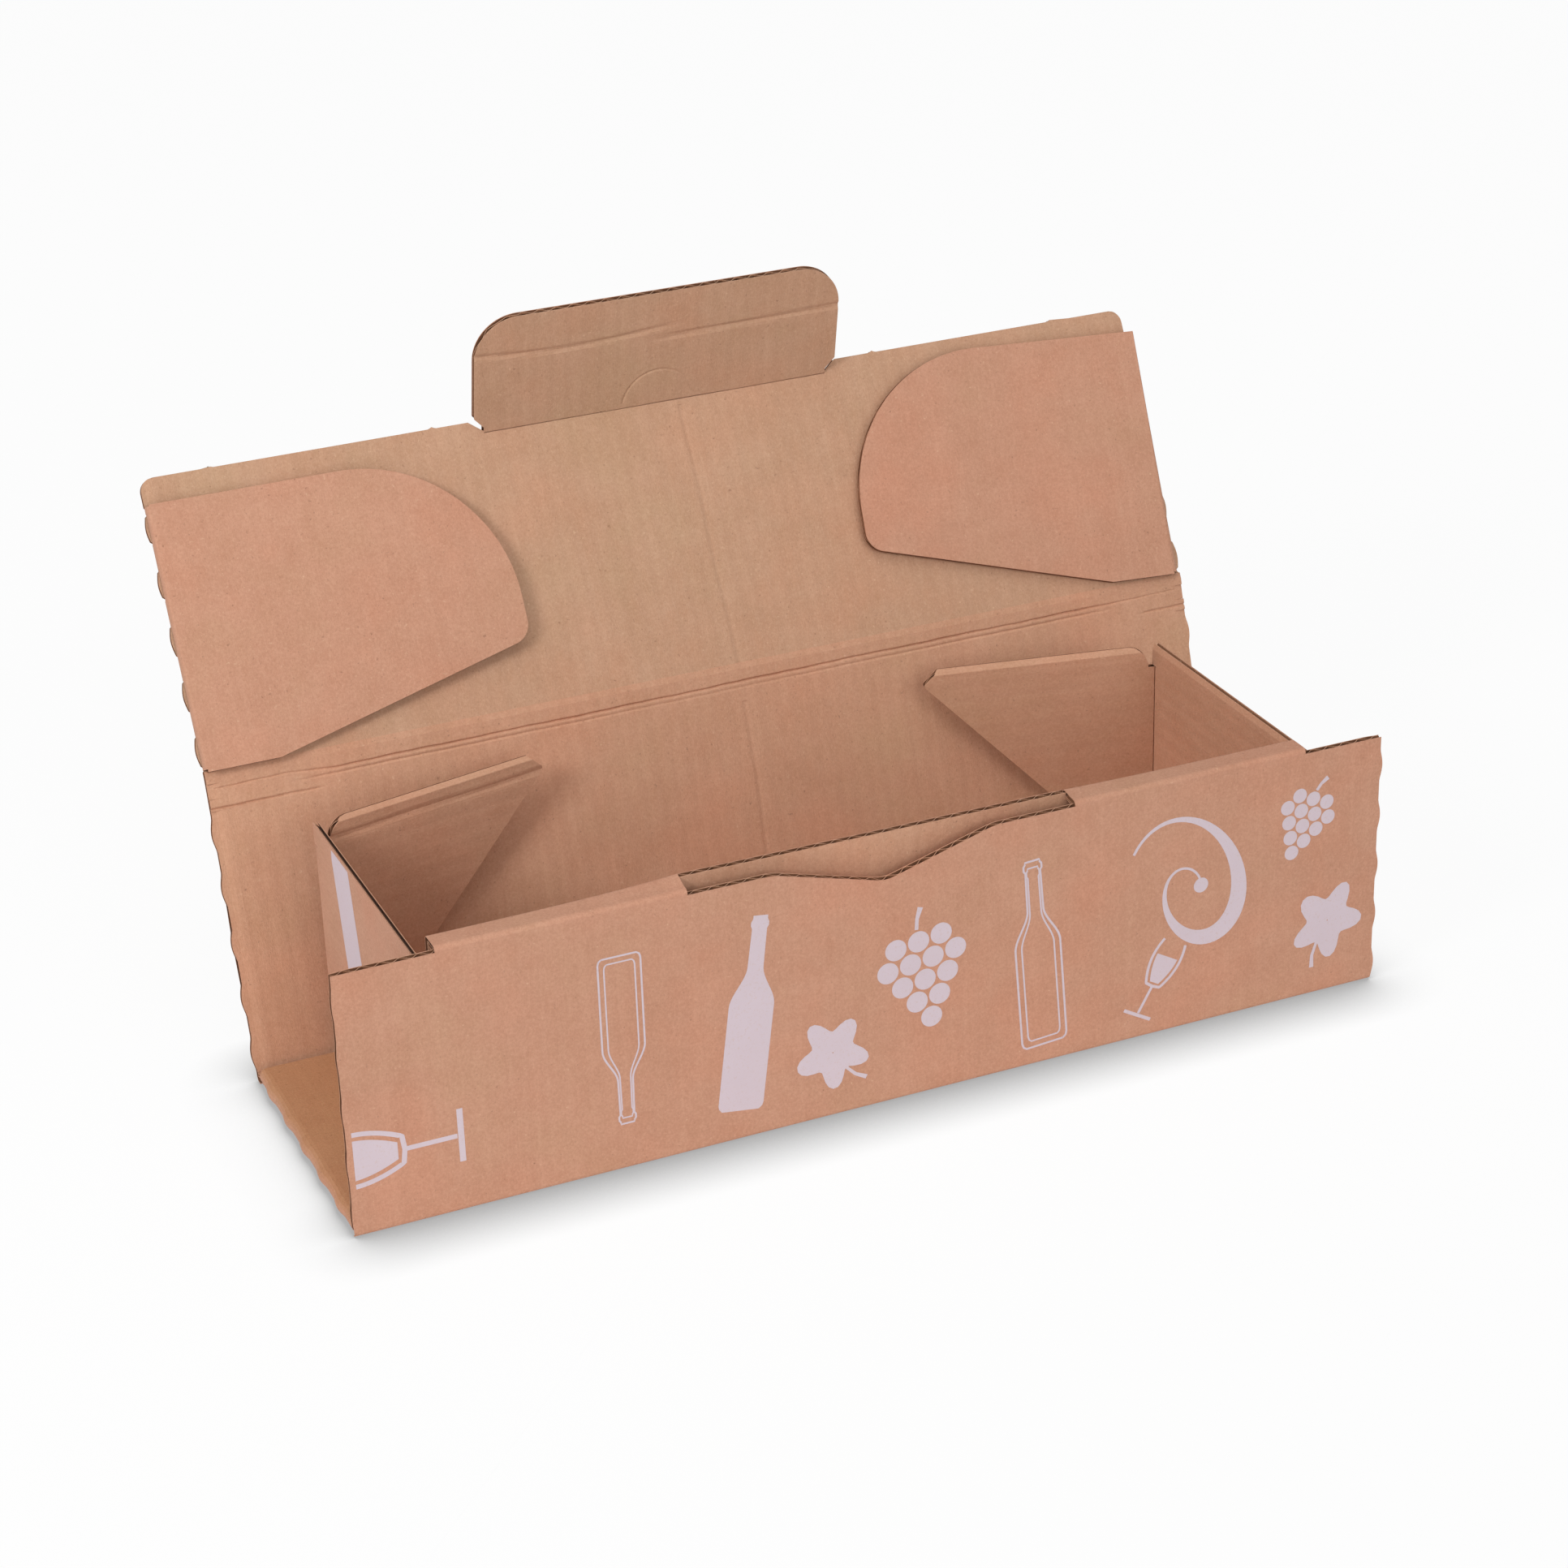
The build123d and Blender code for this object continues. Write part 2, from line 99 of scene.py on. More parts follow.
back_crease = np.array([0.0, BACK, 0.0])
strip_crease = back_crease + HEIGHT * lean_up(BACK_LEAN)
lid_crease = strip_crease + STRIP_WIDTH * lean_up(STRIP_LEAN)
tab_crease = lid_crease + TAB_CREASE * lean_up(LID_LEAN)

# Materials
WHITE = (1.0, 1.0, 1.0, 1.0)


def linear(code):
    """An sRGB hex colour as the linear values that a shader takes."""
    parts = np.array([int(code[k:k + 2], 16) for k in (1, 3, 5)]) / 255
    straight = np.where(parts <= 0.04045, parts / 12.92, ((parts + 0.055) / 1.055) ** 2.4)
    return [float(c) for c in straight] + [1.0]


def node(tree, kind, links=None, **settings):
    """Adds one shader node: settings are its properties or input values, and links feed its inputs,
    each from a socket or from another node's first output."""
    made = tree.nodes.new("ShaderNode" + kind)
    for key, value in settings.items():
        if hasattr(made, key):
            setattr(made, key, value)
        else:
            made.inputs[int(key[1:]) if key[1:].isdigit() else key.replace("_", " ")].default_value = value
    for key, source in (links or {}).items():
        socket = source.outputs[0] if isinstance(source, bpy.types.Node) else source
        tree.links.new(socket, made.inputs[key])
    return made


def blended(tree, base, other, cause, low, high, mode="MIX"):
    """Goes from base to other, each a colour or a socket, as the value of cause goes from low to high."""
    amount = node(tree, "MapRange", {"Value": cause}, From_Min=low, From_Max=high)
    mixed = node(tree, "Mix", {"Factor": amount}, data_type="RGBA", blend_type=mode)
    # Inputs 6 and 7 are the two colours, and output 2 is the colour between them
    for index, source in ((6, base), (7, other)):
        if isinstance(source, list):
            mixed.inputs[index].default_value = source
        else:
            tree.links.new(source, mixed.inputs[index])
    return mixed.outputs[2]


def bare_tree(name):
    """A new material, and its node tree with nothing in it."""
    made = bpy.data.materials.new(name)
    made.use_nodes = True
    made.node_tree.nodes.clear()
    return made, made.node_tree


def board_paper(name, tone, pale, dark, flute_shade, washboard, bump, roughness, channel_shade_tint=None):
    """Kraft paper of corrugated board: long recycled fibres, flecks, cloudy tone, and soft bands of painted
    shade where the liner ripples over the flutes. Read from the sheet's own map: x across the flutes, y
    along.
    The tint given last is painted shade, darker and browner, on faces that look up low by the floor, such as
    the strips folded back over the bottom."""
    paper, tree = bare_tree(name)
    tone, pale, dark = linear(tone), linear(pale), linear(dark)
    sheet = node(tree, "UVMap", uv_map="sheet")
    spot = node(tree, "TexCoord")
    place = spot.outputs["Object"]
    across = node(tree, "SeparateXYZ", {0: sheet}).outputs["X"]

    # Clouds of formation, from 20 mm down to 1 mm
    clouds = node(tree, "TexNoise", {"Vector": place}, Scale=60.0, Detail=6.0, Roughness=0.72)
    # Fibres about 0.5 mm wide and 4 mm long, lying mostly along the flutes
    stretch = node(tree, "Mapping", {"Vector": sheet}, Scale=(1500.0, 420.0, 1.0))
    fibres = node(tree, "TexNoise", {"Vector": stretch}, Scale=1.0, Detail=3.0, Roughness=0.65)
    # Streaks of the paper machine, 2 to 6 mm apart and long
    run = node(tree, "Mapping", {"Vector": sheet}, Scale=(420.0, 9.0, 1.0))
    streaks = node(tree, "TexNoise", {"Vector": run}, Scale=1.0, Detail=2.0)
    # Flecks under a millimetre, some pale and some dark
    flecks = node(tree, "TexNoise", {"Vector": place}, Scale=900.0, Detail=1.0, Roughness=0.4)
    # Mottle of the pulp, soft spots about 1 mm wide, and the grain of single fibres
    mottle = node(tree, "TexNoise", {"Vector": place}, Scale=1000.0, Detail=4.0, Roughness=0.8)
    grain = node(tree, "TexNoise", {"Vector": place}, Scale=2600.0, Detail=2.0, Roughness=0.6)
    # Flutes: one soft band of painted shade each 6.56 mm, where the liner ripples over them
    turn = node(tree, "Math", {0: across}, operation="MULTIPLY", _1=2 * pi / (PITCH * 0.001))
    wave = node(tree, "Math", {0: turn}, operation="SINE")
    shade = [c * flute_shade for c in tone[:3]] + [1.0]

    colour = blended(tree, dark, pale, clouds, 0.3, 0.7)
    colour = blended(tree, tone, colour, fibres, 0.1, 1.0)
    for other, cause, low, high in ((dark, fibres, 0.5, 1.3), (pale, streaks, 0.5, 1.6),
                                    (shade, wave, -1.0, 7.0), (dark, mottle, 0.48, 0.88),
                                    (pale, mottle, 0.5, 0.14)):
        colour = blended(tree, colour, other, cause, low, high)
    # Recycled pulp is a little redder or greyer over patches 2 to 8 cm wide
    patches = node(tree, "TexNoise", {"Vector": place}, Scale=22.0, Detail=3.0, Roughness=0.6)
    colour = blended(tree, colour, [1.06, 0.97, 0.95, 1.0], patches, 0.48, 0.78, "MULTIPLY")
    colour = blended(tree, colour, [0.96, 1.01, 0.97, 1.0], patches, 0.46, 0.2, "MULTIPLY")
    colour = blended(tree, colour, linear("#7E5640"), flecks, 0.69, 1.0)
    colour = blended(tree, colour, linear("#DDB99B"), flecks, 0.31, 0.0)
    if channel_shade_tint:
        # Painted shade on faces that look up, from 12 mm above the floor down to 6 mm, in metres here
        level = node(tree, "SeparateXYZ", {0: place}).outputs["Z"]
        upward = node(tree, "SeparateXYZ", {0: spot.outputs["Normal"]}).outputs["Z"]
        near_floor = node(tree, "MapRange", {"Value": level}, From_Min=0.012, From_Max=0.006)
        painted_shade_mask = node(tree, "Math", {0: near_floor, 1: upward}, operation="MULTIPLY")
        colour = blended(tree, colour, [*channel_shade_tint, 1.0], painted_shade_mask, 0.0, 1.0, "MULTIPLY")

    height = node(tree, "Math", {0: wave, 2: fibres}, operation="MULTIPLY_ADD", _1=washboard)
    rough = node(tree, "Math", {0: grain, 2: height}, operation="MULTIPLY_ADD", _1=0.6)
    relief = node(tree, "Bump", {"Height": rough}, Strength=bump, Distance=0.00016)
    shader = node(tree, "BsdfPrincipled", {"Base Color": colour, "Normal": relief},
                  Roughness=roughness, IOR=1.45, Specular_IOR_Level=0.25, Sheen_Weight=0.06,
                  Sheen_Roughness=0.5)
    node(tree, "OutputMaterial", {"Surface": shader})
    return paper


# Outer liner: kraft paper with a warm, slightly red tone, calendered a little smoother. Its faces that look
# up, low by the floor, get a darker, browner tint of painted shade
OUTER = board_paper("kraft_liner_outer", "#C49177", "#D0A086", "#B38065",
                    flute_shade=0.94, washboard=0.10, bump=0.6, roughness=0.80, channel_shade_tint=(0.84, 0.81, 0.62))
# Inner liner: recycled test liner, yellower and greyer, with clearer flute bands
INNER = board_paper("test_liner_inner", "#C2977B", "#CDA68A", "#B28869",
                    flute_shade=0.88, washboard=0.34, bump=0.72, roughness=0.86)
# The same liner below the lid, painted a shade brighter and redder as painted warm bounce light inside the
# tray
INNER_BOUNCE_LIT = board_paper("test_liner_inner_bounce_lit", "#CA987C", "#D5A88B", "#B9896A",
                          flute_shade=0.88, washboard=0.34, bump=0.72, roughness=0.86)
# Fluting: thin soft medium paper, seen only at the cut edges. Also laid on the liners' faces inside the board
# as painted shade in the flutes' hollows
MEDIUM_AND_CAVITY_SHADE = board_paper("fluting_medium_and_cavity_shade", "#83593F", "#8E6449", "#6E4833",
                     flute_shade=0.95, washboard=0.0, bump=0.4, roughness=0.9)


def flexo_ink():
    """Water-based flexo ink in a pale lilac white: thin, matt, a little starved over the fibres."""
    ink, tree = bare_tree("flexo_ink_lilac_white")
    place = node(tree, "TexCoord").outputs["Object"]
    lay = node(tree, "TexNoise", {"Vector": place}, Scale=1100.0, Detail=3.0, Roughness=0.7)
    cloud = node(tree, "TexNoise", {"Vector": place}, Scale=60.0, Detail=2.0)
    colour = blended(tree, linear("#D2C3CB"), linear("#C7A795"), lay, 0.56, 0.8)
    colour = blended(tree, colour, linear("#CDBDC4"), cloud, 0.0, 1.0)
    relief = node(tree, "Bump", {"Height": lay}, Strength=0.3, Distance=0.00008)
    shader = node(tree, "BsdfPrincipled", {"Base Color": colour, "Normal": relief},
                  Roughness=0.7, IOR=1.45)
    node(tree, "OutputMaterial", {"Surface": shader})
    return ink


INK = flexo_ink()


# Board: plates of paper on grids
def ease(value, low, high):
    """Smooth step from 0 at low to 1 at high."""
    t = np.clip((value - low) / (high - low), 0, 1)
    return t * t * (3 - 2 * t)


def bell(distance, width):
    """A bell curve: 1 at no distance, and a third at one width."""
    return np.exp(-(distance / width) ** 2)


def merged(*runs):
    """The numbers of several runs as one rising run, each once."""
    return np.unique(np.concatenate(runs))


def quads_of(rows, cols):
    """The four corners of each cell of a grid, as numbers of its points."""
    index = np.arange(rows * cols).reshape(rows, cols)
    return np.stack([index[:-1, :-1], index[:-1, 1:], index[1:, 1:], index[1:, :-1]], -1)


def plate(low, high, keep=None):
    """A thin closed plate between two grids of points: quads on the high grid, on the low grid, and
    along every edge that has no neighbour, round any cells that are left out. Their numbers follow."""
    quads = quads_of(*low.shape[:2])
    quads = quads[keep] if keep is not None else quads.reshape(-1, 4)
    starts, ends = quads.ravel(), np.roll(quads, -1, axis=1).ravel()
    points = np.concatenate([low.reshape(-1, 3), high.reshape(-1, 3)])
    size = len(points) // 2
    lone = ~np.isin(starts * size + ends, ends * size + starts)
    a, b = starts[lone], ends[lone]
    rims = np.stack([a, b, b + size, a + size], -1)
    faces = np.concatenate([quads + size, quads[:, ::-1], rims])
    arms = points[faces] - points[0]
    volume = np.einsum("ij,ij->", arms[:, 0],
                       np.cross(arms[:, 1], arms[:, 2]) + np.cross(arms[:, 2], arms[:, 3]))
    return points, faces if volume > 0 else faces[:, ::-1], (len(quads), len(quads), len(rims))


def piece(name, parts, body, replaced=(), blend=None):
    """One object from plates: each part is (points, faces, sheet coordinates, runs of material and
    number of faces). In millimetres, brought to metres here. Points that no face uses are dropped."""
    points = np.concatenate([p[0] for p in parts]) * 0.001
    coords = np.concatenate([p[2] for p in parts]) * 0.001
    starts = np.cumsum([0] + [len(p[0]) for p in parts[:-1]])
    faces = np.concatenate([p[1] + s for p, s in zip(parts, starts)])
    kinds = []
    for p in parts:
        kinds += [look for look, _ in p[3] if look not in kinds]
    looks = np.concatenate([np.full(number, kinds.index(look)) for p in parts for look, number in p[3]])
    used, faces = np.unique(faces, return_inverse=True)
    faces = faces.reshape(-1, 4)
    mesh = bpy.data.meshes.new(name)
    mesh.from_pydata(points[used].tolist(), [], faces.tolist())
    for kind in kinds:
        mesh.materials.append(kind)
    mesh.polygons.foreach_set("material_index", looks.astype(np.int32))
    laid = mesh.uv_layers.new(name="sheet")
    laid.data.foreach_set("uv", coords[used][faces.ravel()].astype(np.float32).ravel())
    mesh.update()
    made = bpy.data.objects.new(name, mesh)
    bpy.context.scene.collection.objects.link(made)
    if blend:
        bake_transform(made)
    else:
        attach(made, body)
    if replaced:
        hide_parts(*replaced)


# The fluted sheet swings by this share of the board to each side, and stops short of the panel's ends
FLUTE_SWING, FLUTE_INSET = 0.345, 0.25


def board(name, body, at, y, low, high, columns, flute_rows, replaced=(), blend=None, fixed=None,
          keep=None, across=0, press=None, shift=(0.0, 0.0)):
    """One panel of board. Its grid has a row at each y, from x = low to x = high in that row.
    at(x, y, k) gives the place at depth k, 0 at the outer liner's face and 1 at the inner's.
    The fluted sheet swings between the liners as the sine of the distance across the flutes, which
    run along y, or along x where across is 1. fixed holds the x of the inner columns, keep(x, y)
    tells which cells stay, and press(x, y) is the share of the thickness that is pressed away.
    shift is the panel's place on the sheet's own map."""
    y = np.asarray(y, float)
    low, high = np.broadcast_to(low, y.shape), np.broadcast_to(high, y.shape)

    def grid(ys, lows, highs, count, inner_x=None):
        xs = lows[:, None] + (highs - lows)[:, None] * np.linspace(0, 1, count)
        if inner_x is not None:
            between = np.broadcast_to(inner_x, (len(ys), np.shape(inner_x)[-1]))
            xs = np.concatenate([lows[:, None], between, highs[:, None]], 1)
        return xs, np.broadcast_to(ys[:, None], xs.shape)

    def depth(xs, ys, k):
        k = k + 0 * xs
        return k * (1 - press(xs, ys)) if press else k

    def layer(xs, ys, k0, k1, high_look, low_look, rim_look):
        hold = keep((xs[:-1, :-1] + xs[1:, 1:]) / 2, (ys[:-1, :-1] + ys[1:, 1:]) / 2) if keep else None
        points, faces, sides = plate(at(xs, ys, depth(xs, ys, k0)), at(xs, ys, depth(xs, ys, k1)), hold)
        sheet = np.stack([ys, xs] if across else [xs, ys], -1).reshape(-1, 2) + np.array(shift)
        looks = list(zip((high_look, low_look, rim_look), sides))
        return points, faces, np.concatenate([sheet, sheet]), looks

    # Below the lid the inner liner is the brighter, redder copy: painted bounce light
    inner = INNER if body.startswith(("lid", "tuck_tab")) else INNER_BOUNCE_LIT
    xs, ys = grid(y, low, high, columns, fixed)
    # The liners' faces toward the flutes take the fluting's dark brown: painted shade in the hollows
    parts = [layer(xs, ys, 0.0, LINER / BOARD, MEDIUM_AND_CAVITY_SHADE, OUTER, OUTER),
             layer(xs, ys, 1 - LINER / BOARD, 1.0, inner, MEDIUM_AND_CAVITY_SHADE, inner)]
    if flute_rows is not None:
        flute_rows = np.asarray(flute_rows, float)
        lows, highs = np.interp(flute_rows, y, low), np.interp(flute_rows, y, high)
        count = columns if across else int(np.max(highs - lows) / PITCH * 8)
        xs, ys = grid(flute_rows, lows + FLUTE_INSET, highs - FLUTE_INSET, count)
        swing = 0.5 + FLUTE_SWING * np.sin(2 * pi * ((ys if across else xs) + shift[0]) / PITCH)
        half = FLUTE_PAPER / BOARD / 2
        parts.append(layer(xs, ys, swing - half, swing + half, MEDIUM_AND_CAVITY_SHADE, MEDIUM_AND_CAVITY_SHADE, inner))
    piece(name, parts, body, replaced, blend)


def flat(origin, way_x, way_y, way_in):
    """Places a flat panel: x along way_x, y along way_y and depth along way_in."""
    def at(x, y, k):
        return origin + x[..., None] * way_x + y[..., None] * way_y + BOARD * k[..., None] * way_in
    return at


def leaning(corner, lean):
    """Places a flat panel that stands on a corner of the box and leans back."""
    return flat(corner, SIDEWAYS, lean_up(lean), lean_in(lean))


def bend(corners, radius, steps=7):
    """Points of a line with round corners: straight runs, with a circle's arc at each corner."""
    corners = [np.array(c, float) for c in corners]
    points = [corners[0]]
    for before, corner, after in zip(corners, corners[1:], corners[2:]):
        one = (before - corner) / np.linalg.norm(before - corner)
        two = (after - corner) / np.linalg.norm(after - corner)
        half = np.arccos(np.clip(one @ two, -1, 1)) / 2
        middle = (one + two) / np.linalg.norm(one + two)
        centre = corner + middle * radius / np.sin(half)
        sweep = np.linspace(-(pi / 2 - half), pi / 2 - half, steps)
        side = (two - one) / np.linalg.norm(two - one)
        points += list(centre - radius * (np.cos(sweep)[:, None] * middle - np.sin(sweep)[:, None] * side))
    return np.array(points + [corners[-1]])


def folded(outside, inside):
    """Places a folded sheet: y runs along the outer line, and depth goes over to the inner line.
    Both lines have the same number of points, as (second, third) coordinates of a section."""
    lengths = np.concatenate([[0], np.cumsum(np.linalg.norm(np.diff(outside, axis=0), axis=1))])

    def section(y, k):
        return [np.interp(y, lengths, outside[:, c]) * (1 - k) + np.interp(y, lengths, inside[:, c]) * k
                for c in (0, 1)]

    return section, lengths


def along_box(section, rise=None):
    """A folded sheet whose folds run along the box, lifted by rise(x, second) where that is given."""
    def at(x, y, k):
        second, third = section(y, k)
        return np.stack([x, second, third + (rise(x, second) if rise else 0)], -1)
    return at


# Outlines
def from_tongue(y, foot, head, shift=0.0):
    """Distance along an end from the middle of its nearest tongue."""
    steps = int((head - foot - WAVE_WIDTH - 2 * abs(shift)) / WAVE_PITCH)
    centres = (foot + head) / 2 + shift + (np.arange(steps + 1) - steps / 2) * WAVE_PITCH
    return np.min(np.abs(np.asarray(y)[..., None] - centres), -1)


def tongue_bulge(y, foot, head, shift=0.0):
    """How far the scalloped end stands past the straight end: an arc over each tongue."""
    share = 2 * from_tongue(y, foot, head, shift) / WAVE_WIDTH
    return WAVE_RISE * np.clip(1 - share ** 2, 0, None) ** 1.5


def round_corner(y, head, radius):
    """How far a rounded corner takes an edge in at y: the radius less the half chord of its circle."""
    return radius - np.sqrt(np.clip(radius ** 2 - np.clip(y - head + radius, 0, radius) ** 2, 0, None))


def end_press(x, y):
    """Board pressed flat by the cutting die in the last 5 mm at both ends."""
    return 0.22 * ease(np.abs(x), END - 5.5, END - 0.5)


CRUSHED = 9.0


def crushed_flute(x, y):
    """The pressed ends, and a shallow groove along the one crushed flute of the lid and back wall."""
    return end_press(x, y) + 0.1 * bell(x - CRUSHED - 0.3 * np.sin(y / 9.0), 1.1)


# Columns of a panel as long as the box, closer at its pressed ends, and with the crushed flute
WIDE = np.concatenate([[-198.2, -196.2, -194.2], np.linspace(-190, 190, 39), [194.2, 196.2, 198.2]])
WITH_CRUSHED = merged(WIDE, CRUSHED + np.linspace(-2.4, 2.4, 9))

# Tray: bottom and outer front wall, one bent length
outside = bend([(BACK - CREASE, 0), (FRONT, 0), (FRONT, RAW_TOP)], BEND_OUTSIDE)
inside = bend([(BACK - CREASE, BOARD), (FRONT + BOARD, BOARD), (FRONT + BOARD, RAW_TOP)], BEND_INSIDE)
tray_section, tray_lengths = folded(outside, inside)
FOOT_END, WALL_START, SHEET_TOP = tray_lengths[1], tray_lengths[-2], tray_lengths[-1]
LOCK_FRONT, LOCK_BACK = ROLL_INSIDE - BOARD - LOCK_GAP, ROLL_INSIDE + LOCK_GAP
LOCK_HALF, FOLD_BACK = LOCK_WIDTH / 2 + LOCK_GAP, WALL_BACK - 1
# Rows where the bottom's ends step in and where its slots begin and end
kept_y = BACK - CREASE - np.array([WALL_FRONT - 0.05, WALL_FRONT, FOLD_BACK, LOCK_BACK, LOCK_FRONT])
tray_y = merged(np.linspace(0, FOOT_END, 24), tray_lengths[1:-1], kept_y,
                np.linspace(WALL_START, SHEET_TOP, 86))
place_y = np.interp(tray_y, tray_lengths, outside[:, 0])
place_z = np.interp(tray_y, tray_lengths, outside[:, 1])
bottom_half = np.where((place_y > WALL_FRONT) & (place_y < FOLD_BACK), END_FOLD, END - 0.9)
# The front wall's tongues stand out less at its left end
front_bulge = tongue_bulge(place_z, 0, RAW_TOP, -1.9)
half_left, half_right = (np.where(tray_y <= FOOT_END, bottom_half, END + share * front_bulge)
                         for share in (0.4, 1.0))

# The notch in the front wall's edge: shoulders of 22 mm radius, and 12 mm where it is deepest
shoulder = bend([(-60, RAW_TOP), (-NOTCH_WIDTH / 2, RAW_TOP), (0, RAW_TOP - NOTCH_DEPTH)], 22.0, 14)
dip = bend([(-NOTCH_WIDTH / 2, RAW_TOP), (0, RAW_TOP - NOTCH_DEPTH), (NOTCH_WIDTH / 2, RAW_TOP)], 12.0, 14)
left_edge = np.concatenate([shoulder[:-1], dip[1:8]])
notch_edge = np.concatenate([left_edge, (left_edge * [-1, 1])[::-1]])


def front_top(x):
    """Height of the front wall's top edge: raw and notched at the slot, lower where it rolls over."""
    raw = np.interp(x, notch_edge[:, 0], notch_edge[:, 1])
    rolled = (np.abs(x) > SLOT_LENGTH / 2) & (x > ROLL_LEFT) & (x < ROLL_RIGHT)
    return np.where(rolled, ROLL_START, raw)


def drawn(y, full, reach, last):
    """Draws a length's last stretch: y up to full - last stays, and the rest runs on to reach."""
    start = full - last
    return np.where(y > start, start + (y - start) * (reach - start) / last, y)


def tray_at(x, y, k):
    """The bottom and front wall, with the wall's top 30 mm drawn to the line of its top edge."""
    along = drawn(y, SHEET_TOP, SHEET_TOP + front_top(x) - RAW_TOP, 30.0)
    second, third = tray_section(along, k)
    return np.stack([x, second, third + np.clip(along - SHEET_TOP, 0, None)], -1)


def past_slots(x, y):
    """Cells of the bottom that stay: all but the two slots for the locking tabs."""
    spot = np.interp(y, tray_lengths, outside[:, 0])
    beside = np.abs(np.abs(x) - LOCK_SPACING / 2) < LOCK_HALF
    return ~(beside & (spot > LOCK_FRONT) & (spot < LOCK_BACK) & (y < FOOT_END))


slot_steps = SLOT_LENGTH / 2 + np.array([0.0, STEP])
sheer_x = np.array([LOCK_SPACING / 2 - LOCK_HALF, LOCK_SPACING / 2 + LOCK_HALF, *slot_steps,
                    ROLL_RIGHT, ROLL_RIGHT - STEP, -ROLL_LEFT, -ROLL_LEFT - STEP])
flute_y = np.concatenate([[0, 20, 60, 100], tray_lengths[1:-1],
                          WALL_START + np.array([3, 40, 71, 74, 78, 82, 86, 90, 94, 97]), [SHEET_TOP]])
board("tray_bottom_and_front", "tray", tray_at, tray_y, -half_left, half_right, 3, flute_y, ("tray",),
      fixed=merged(WIDE, sheer_x, -sheer_x, np.linspace(-58, 58, 59)), keep=past_slots, press=end_press)


# Inner front wall, with the two locking tabs that stand in the bottom's slots
def roll_rise(x, second):
    """How far the roll-over strip bows up beside the slot: it dies away along the box and to the front."""
    away = np.clip(np.abs(x) - SLOT_LENGTH / 2, 0, None)
    beside = np.where(x < 0, 2.2 * np.exp(-away / 26.0), 0.9 * np.exp(-away / 22.0))
    return beside * ease(second, FRONT + 1.5, ROLL_INSIDE)


def inner_wall_at(x, y, k):
    """The inner front wall hangs from the roll-over strip, and stands a little higher at the slot."""
    raw = HEIGHT + np.interp(x, [-SLOT_LENGTH / 2, 0, SLOT_LENGTH / 2], [1.4, 0.8, 0.2])
    top = np.where(np.abs(x) > SLOT_LENGTH / 2, ROLL_START + roll_rise(x, ROLL_INSIDE), raw)
    z = LAYER_BASE + (y - LAYER_BASE) * (top - LAYER_BASE) / (RAW_TOP - LAYER_BASE)
    return np.stack([x, ROLL_INSIDE - BOARD * k, z], -1)


board("inner_front_wall", "tray", inner_wall_at, np.linspace(LAYER_BASE, RAW_TOP, 12),
      ROLL_LEFT, ROLL_RIGHT, 3, [LAYER_BASE, 50, RAW_TOP],
      fixed=merged(np.linspace(-160, 164, 36), slot_steps, -slot_steps))
for side, name in SIDES:
    left, right = side * LOCK_SPACING / 2 + np.array([-LOCK_WIDTH, LOCK_WIDTH]) / 2
    board("locking_tab_" + name, "tray", flat(ROLL_INSIDE * BACKWARD, SIDEWAYS, UPWARD, -BACKWARD),
          np.linspace(LOCK_GAP, LAYER_BASE, 4), left, right, 12, [LOCK_GAP, LAYER_BASE])

# Roll-over strip on both sides of the slot
ROLL_END, ROLL_UNDER = ROLL_START - 0.01, HEIGHT - BOARD - BEND_INSIDE
roll_out = bend([(FRONT, ROLL_END), (FRONT, HEIGHT), (ROLL_INSIDE, HEIGHT), (ROLL_INSIDE, ROLL_END)],
                BEND_OUTSIDE)
roll_in = bend([(FRONT + BOARD, ROLL_UNDER), (FRONT + BOARD, HEIGHT - BOARD),
                (ROLL_INSIDE - BOARD, HEIGHT - BOARD), (ROLL_INSIDE - BOARD, ROLL_UNDER)], BEND_INSIDE)
roll_section, roll_lengths = folded(roll_out, roll_in)
for name, left, right in (("left", ROLL_LEFT, -SLOT_LENGTH / 2), ("right", SLOT_LENGTH / 2, ROLL_RIGHT)):
    board("roll_over_strip_" + name, "tray", along_box(roll_section, roll_rise),
          merged(roll_lengths, np.linspace(0, roll_lengths[-1], 12)), left, right, 14,
          roll_lengths[1:-1], shift=(0.0, SHEET_TOP))


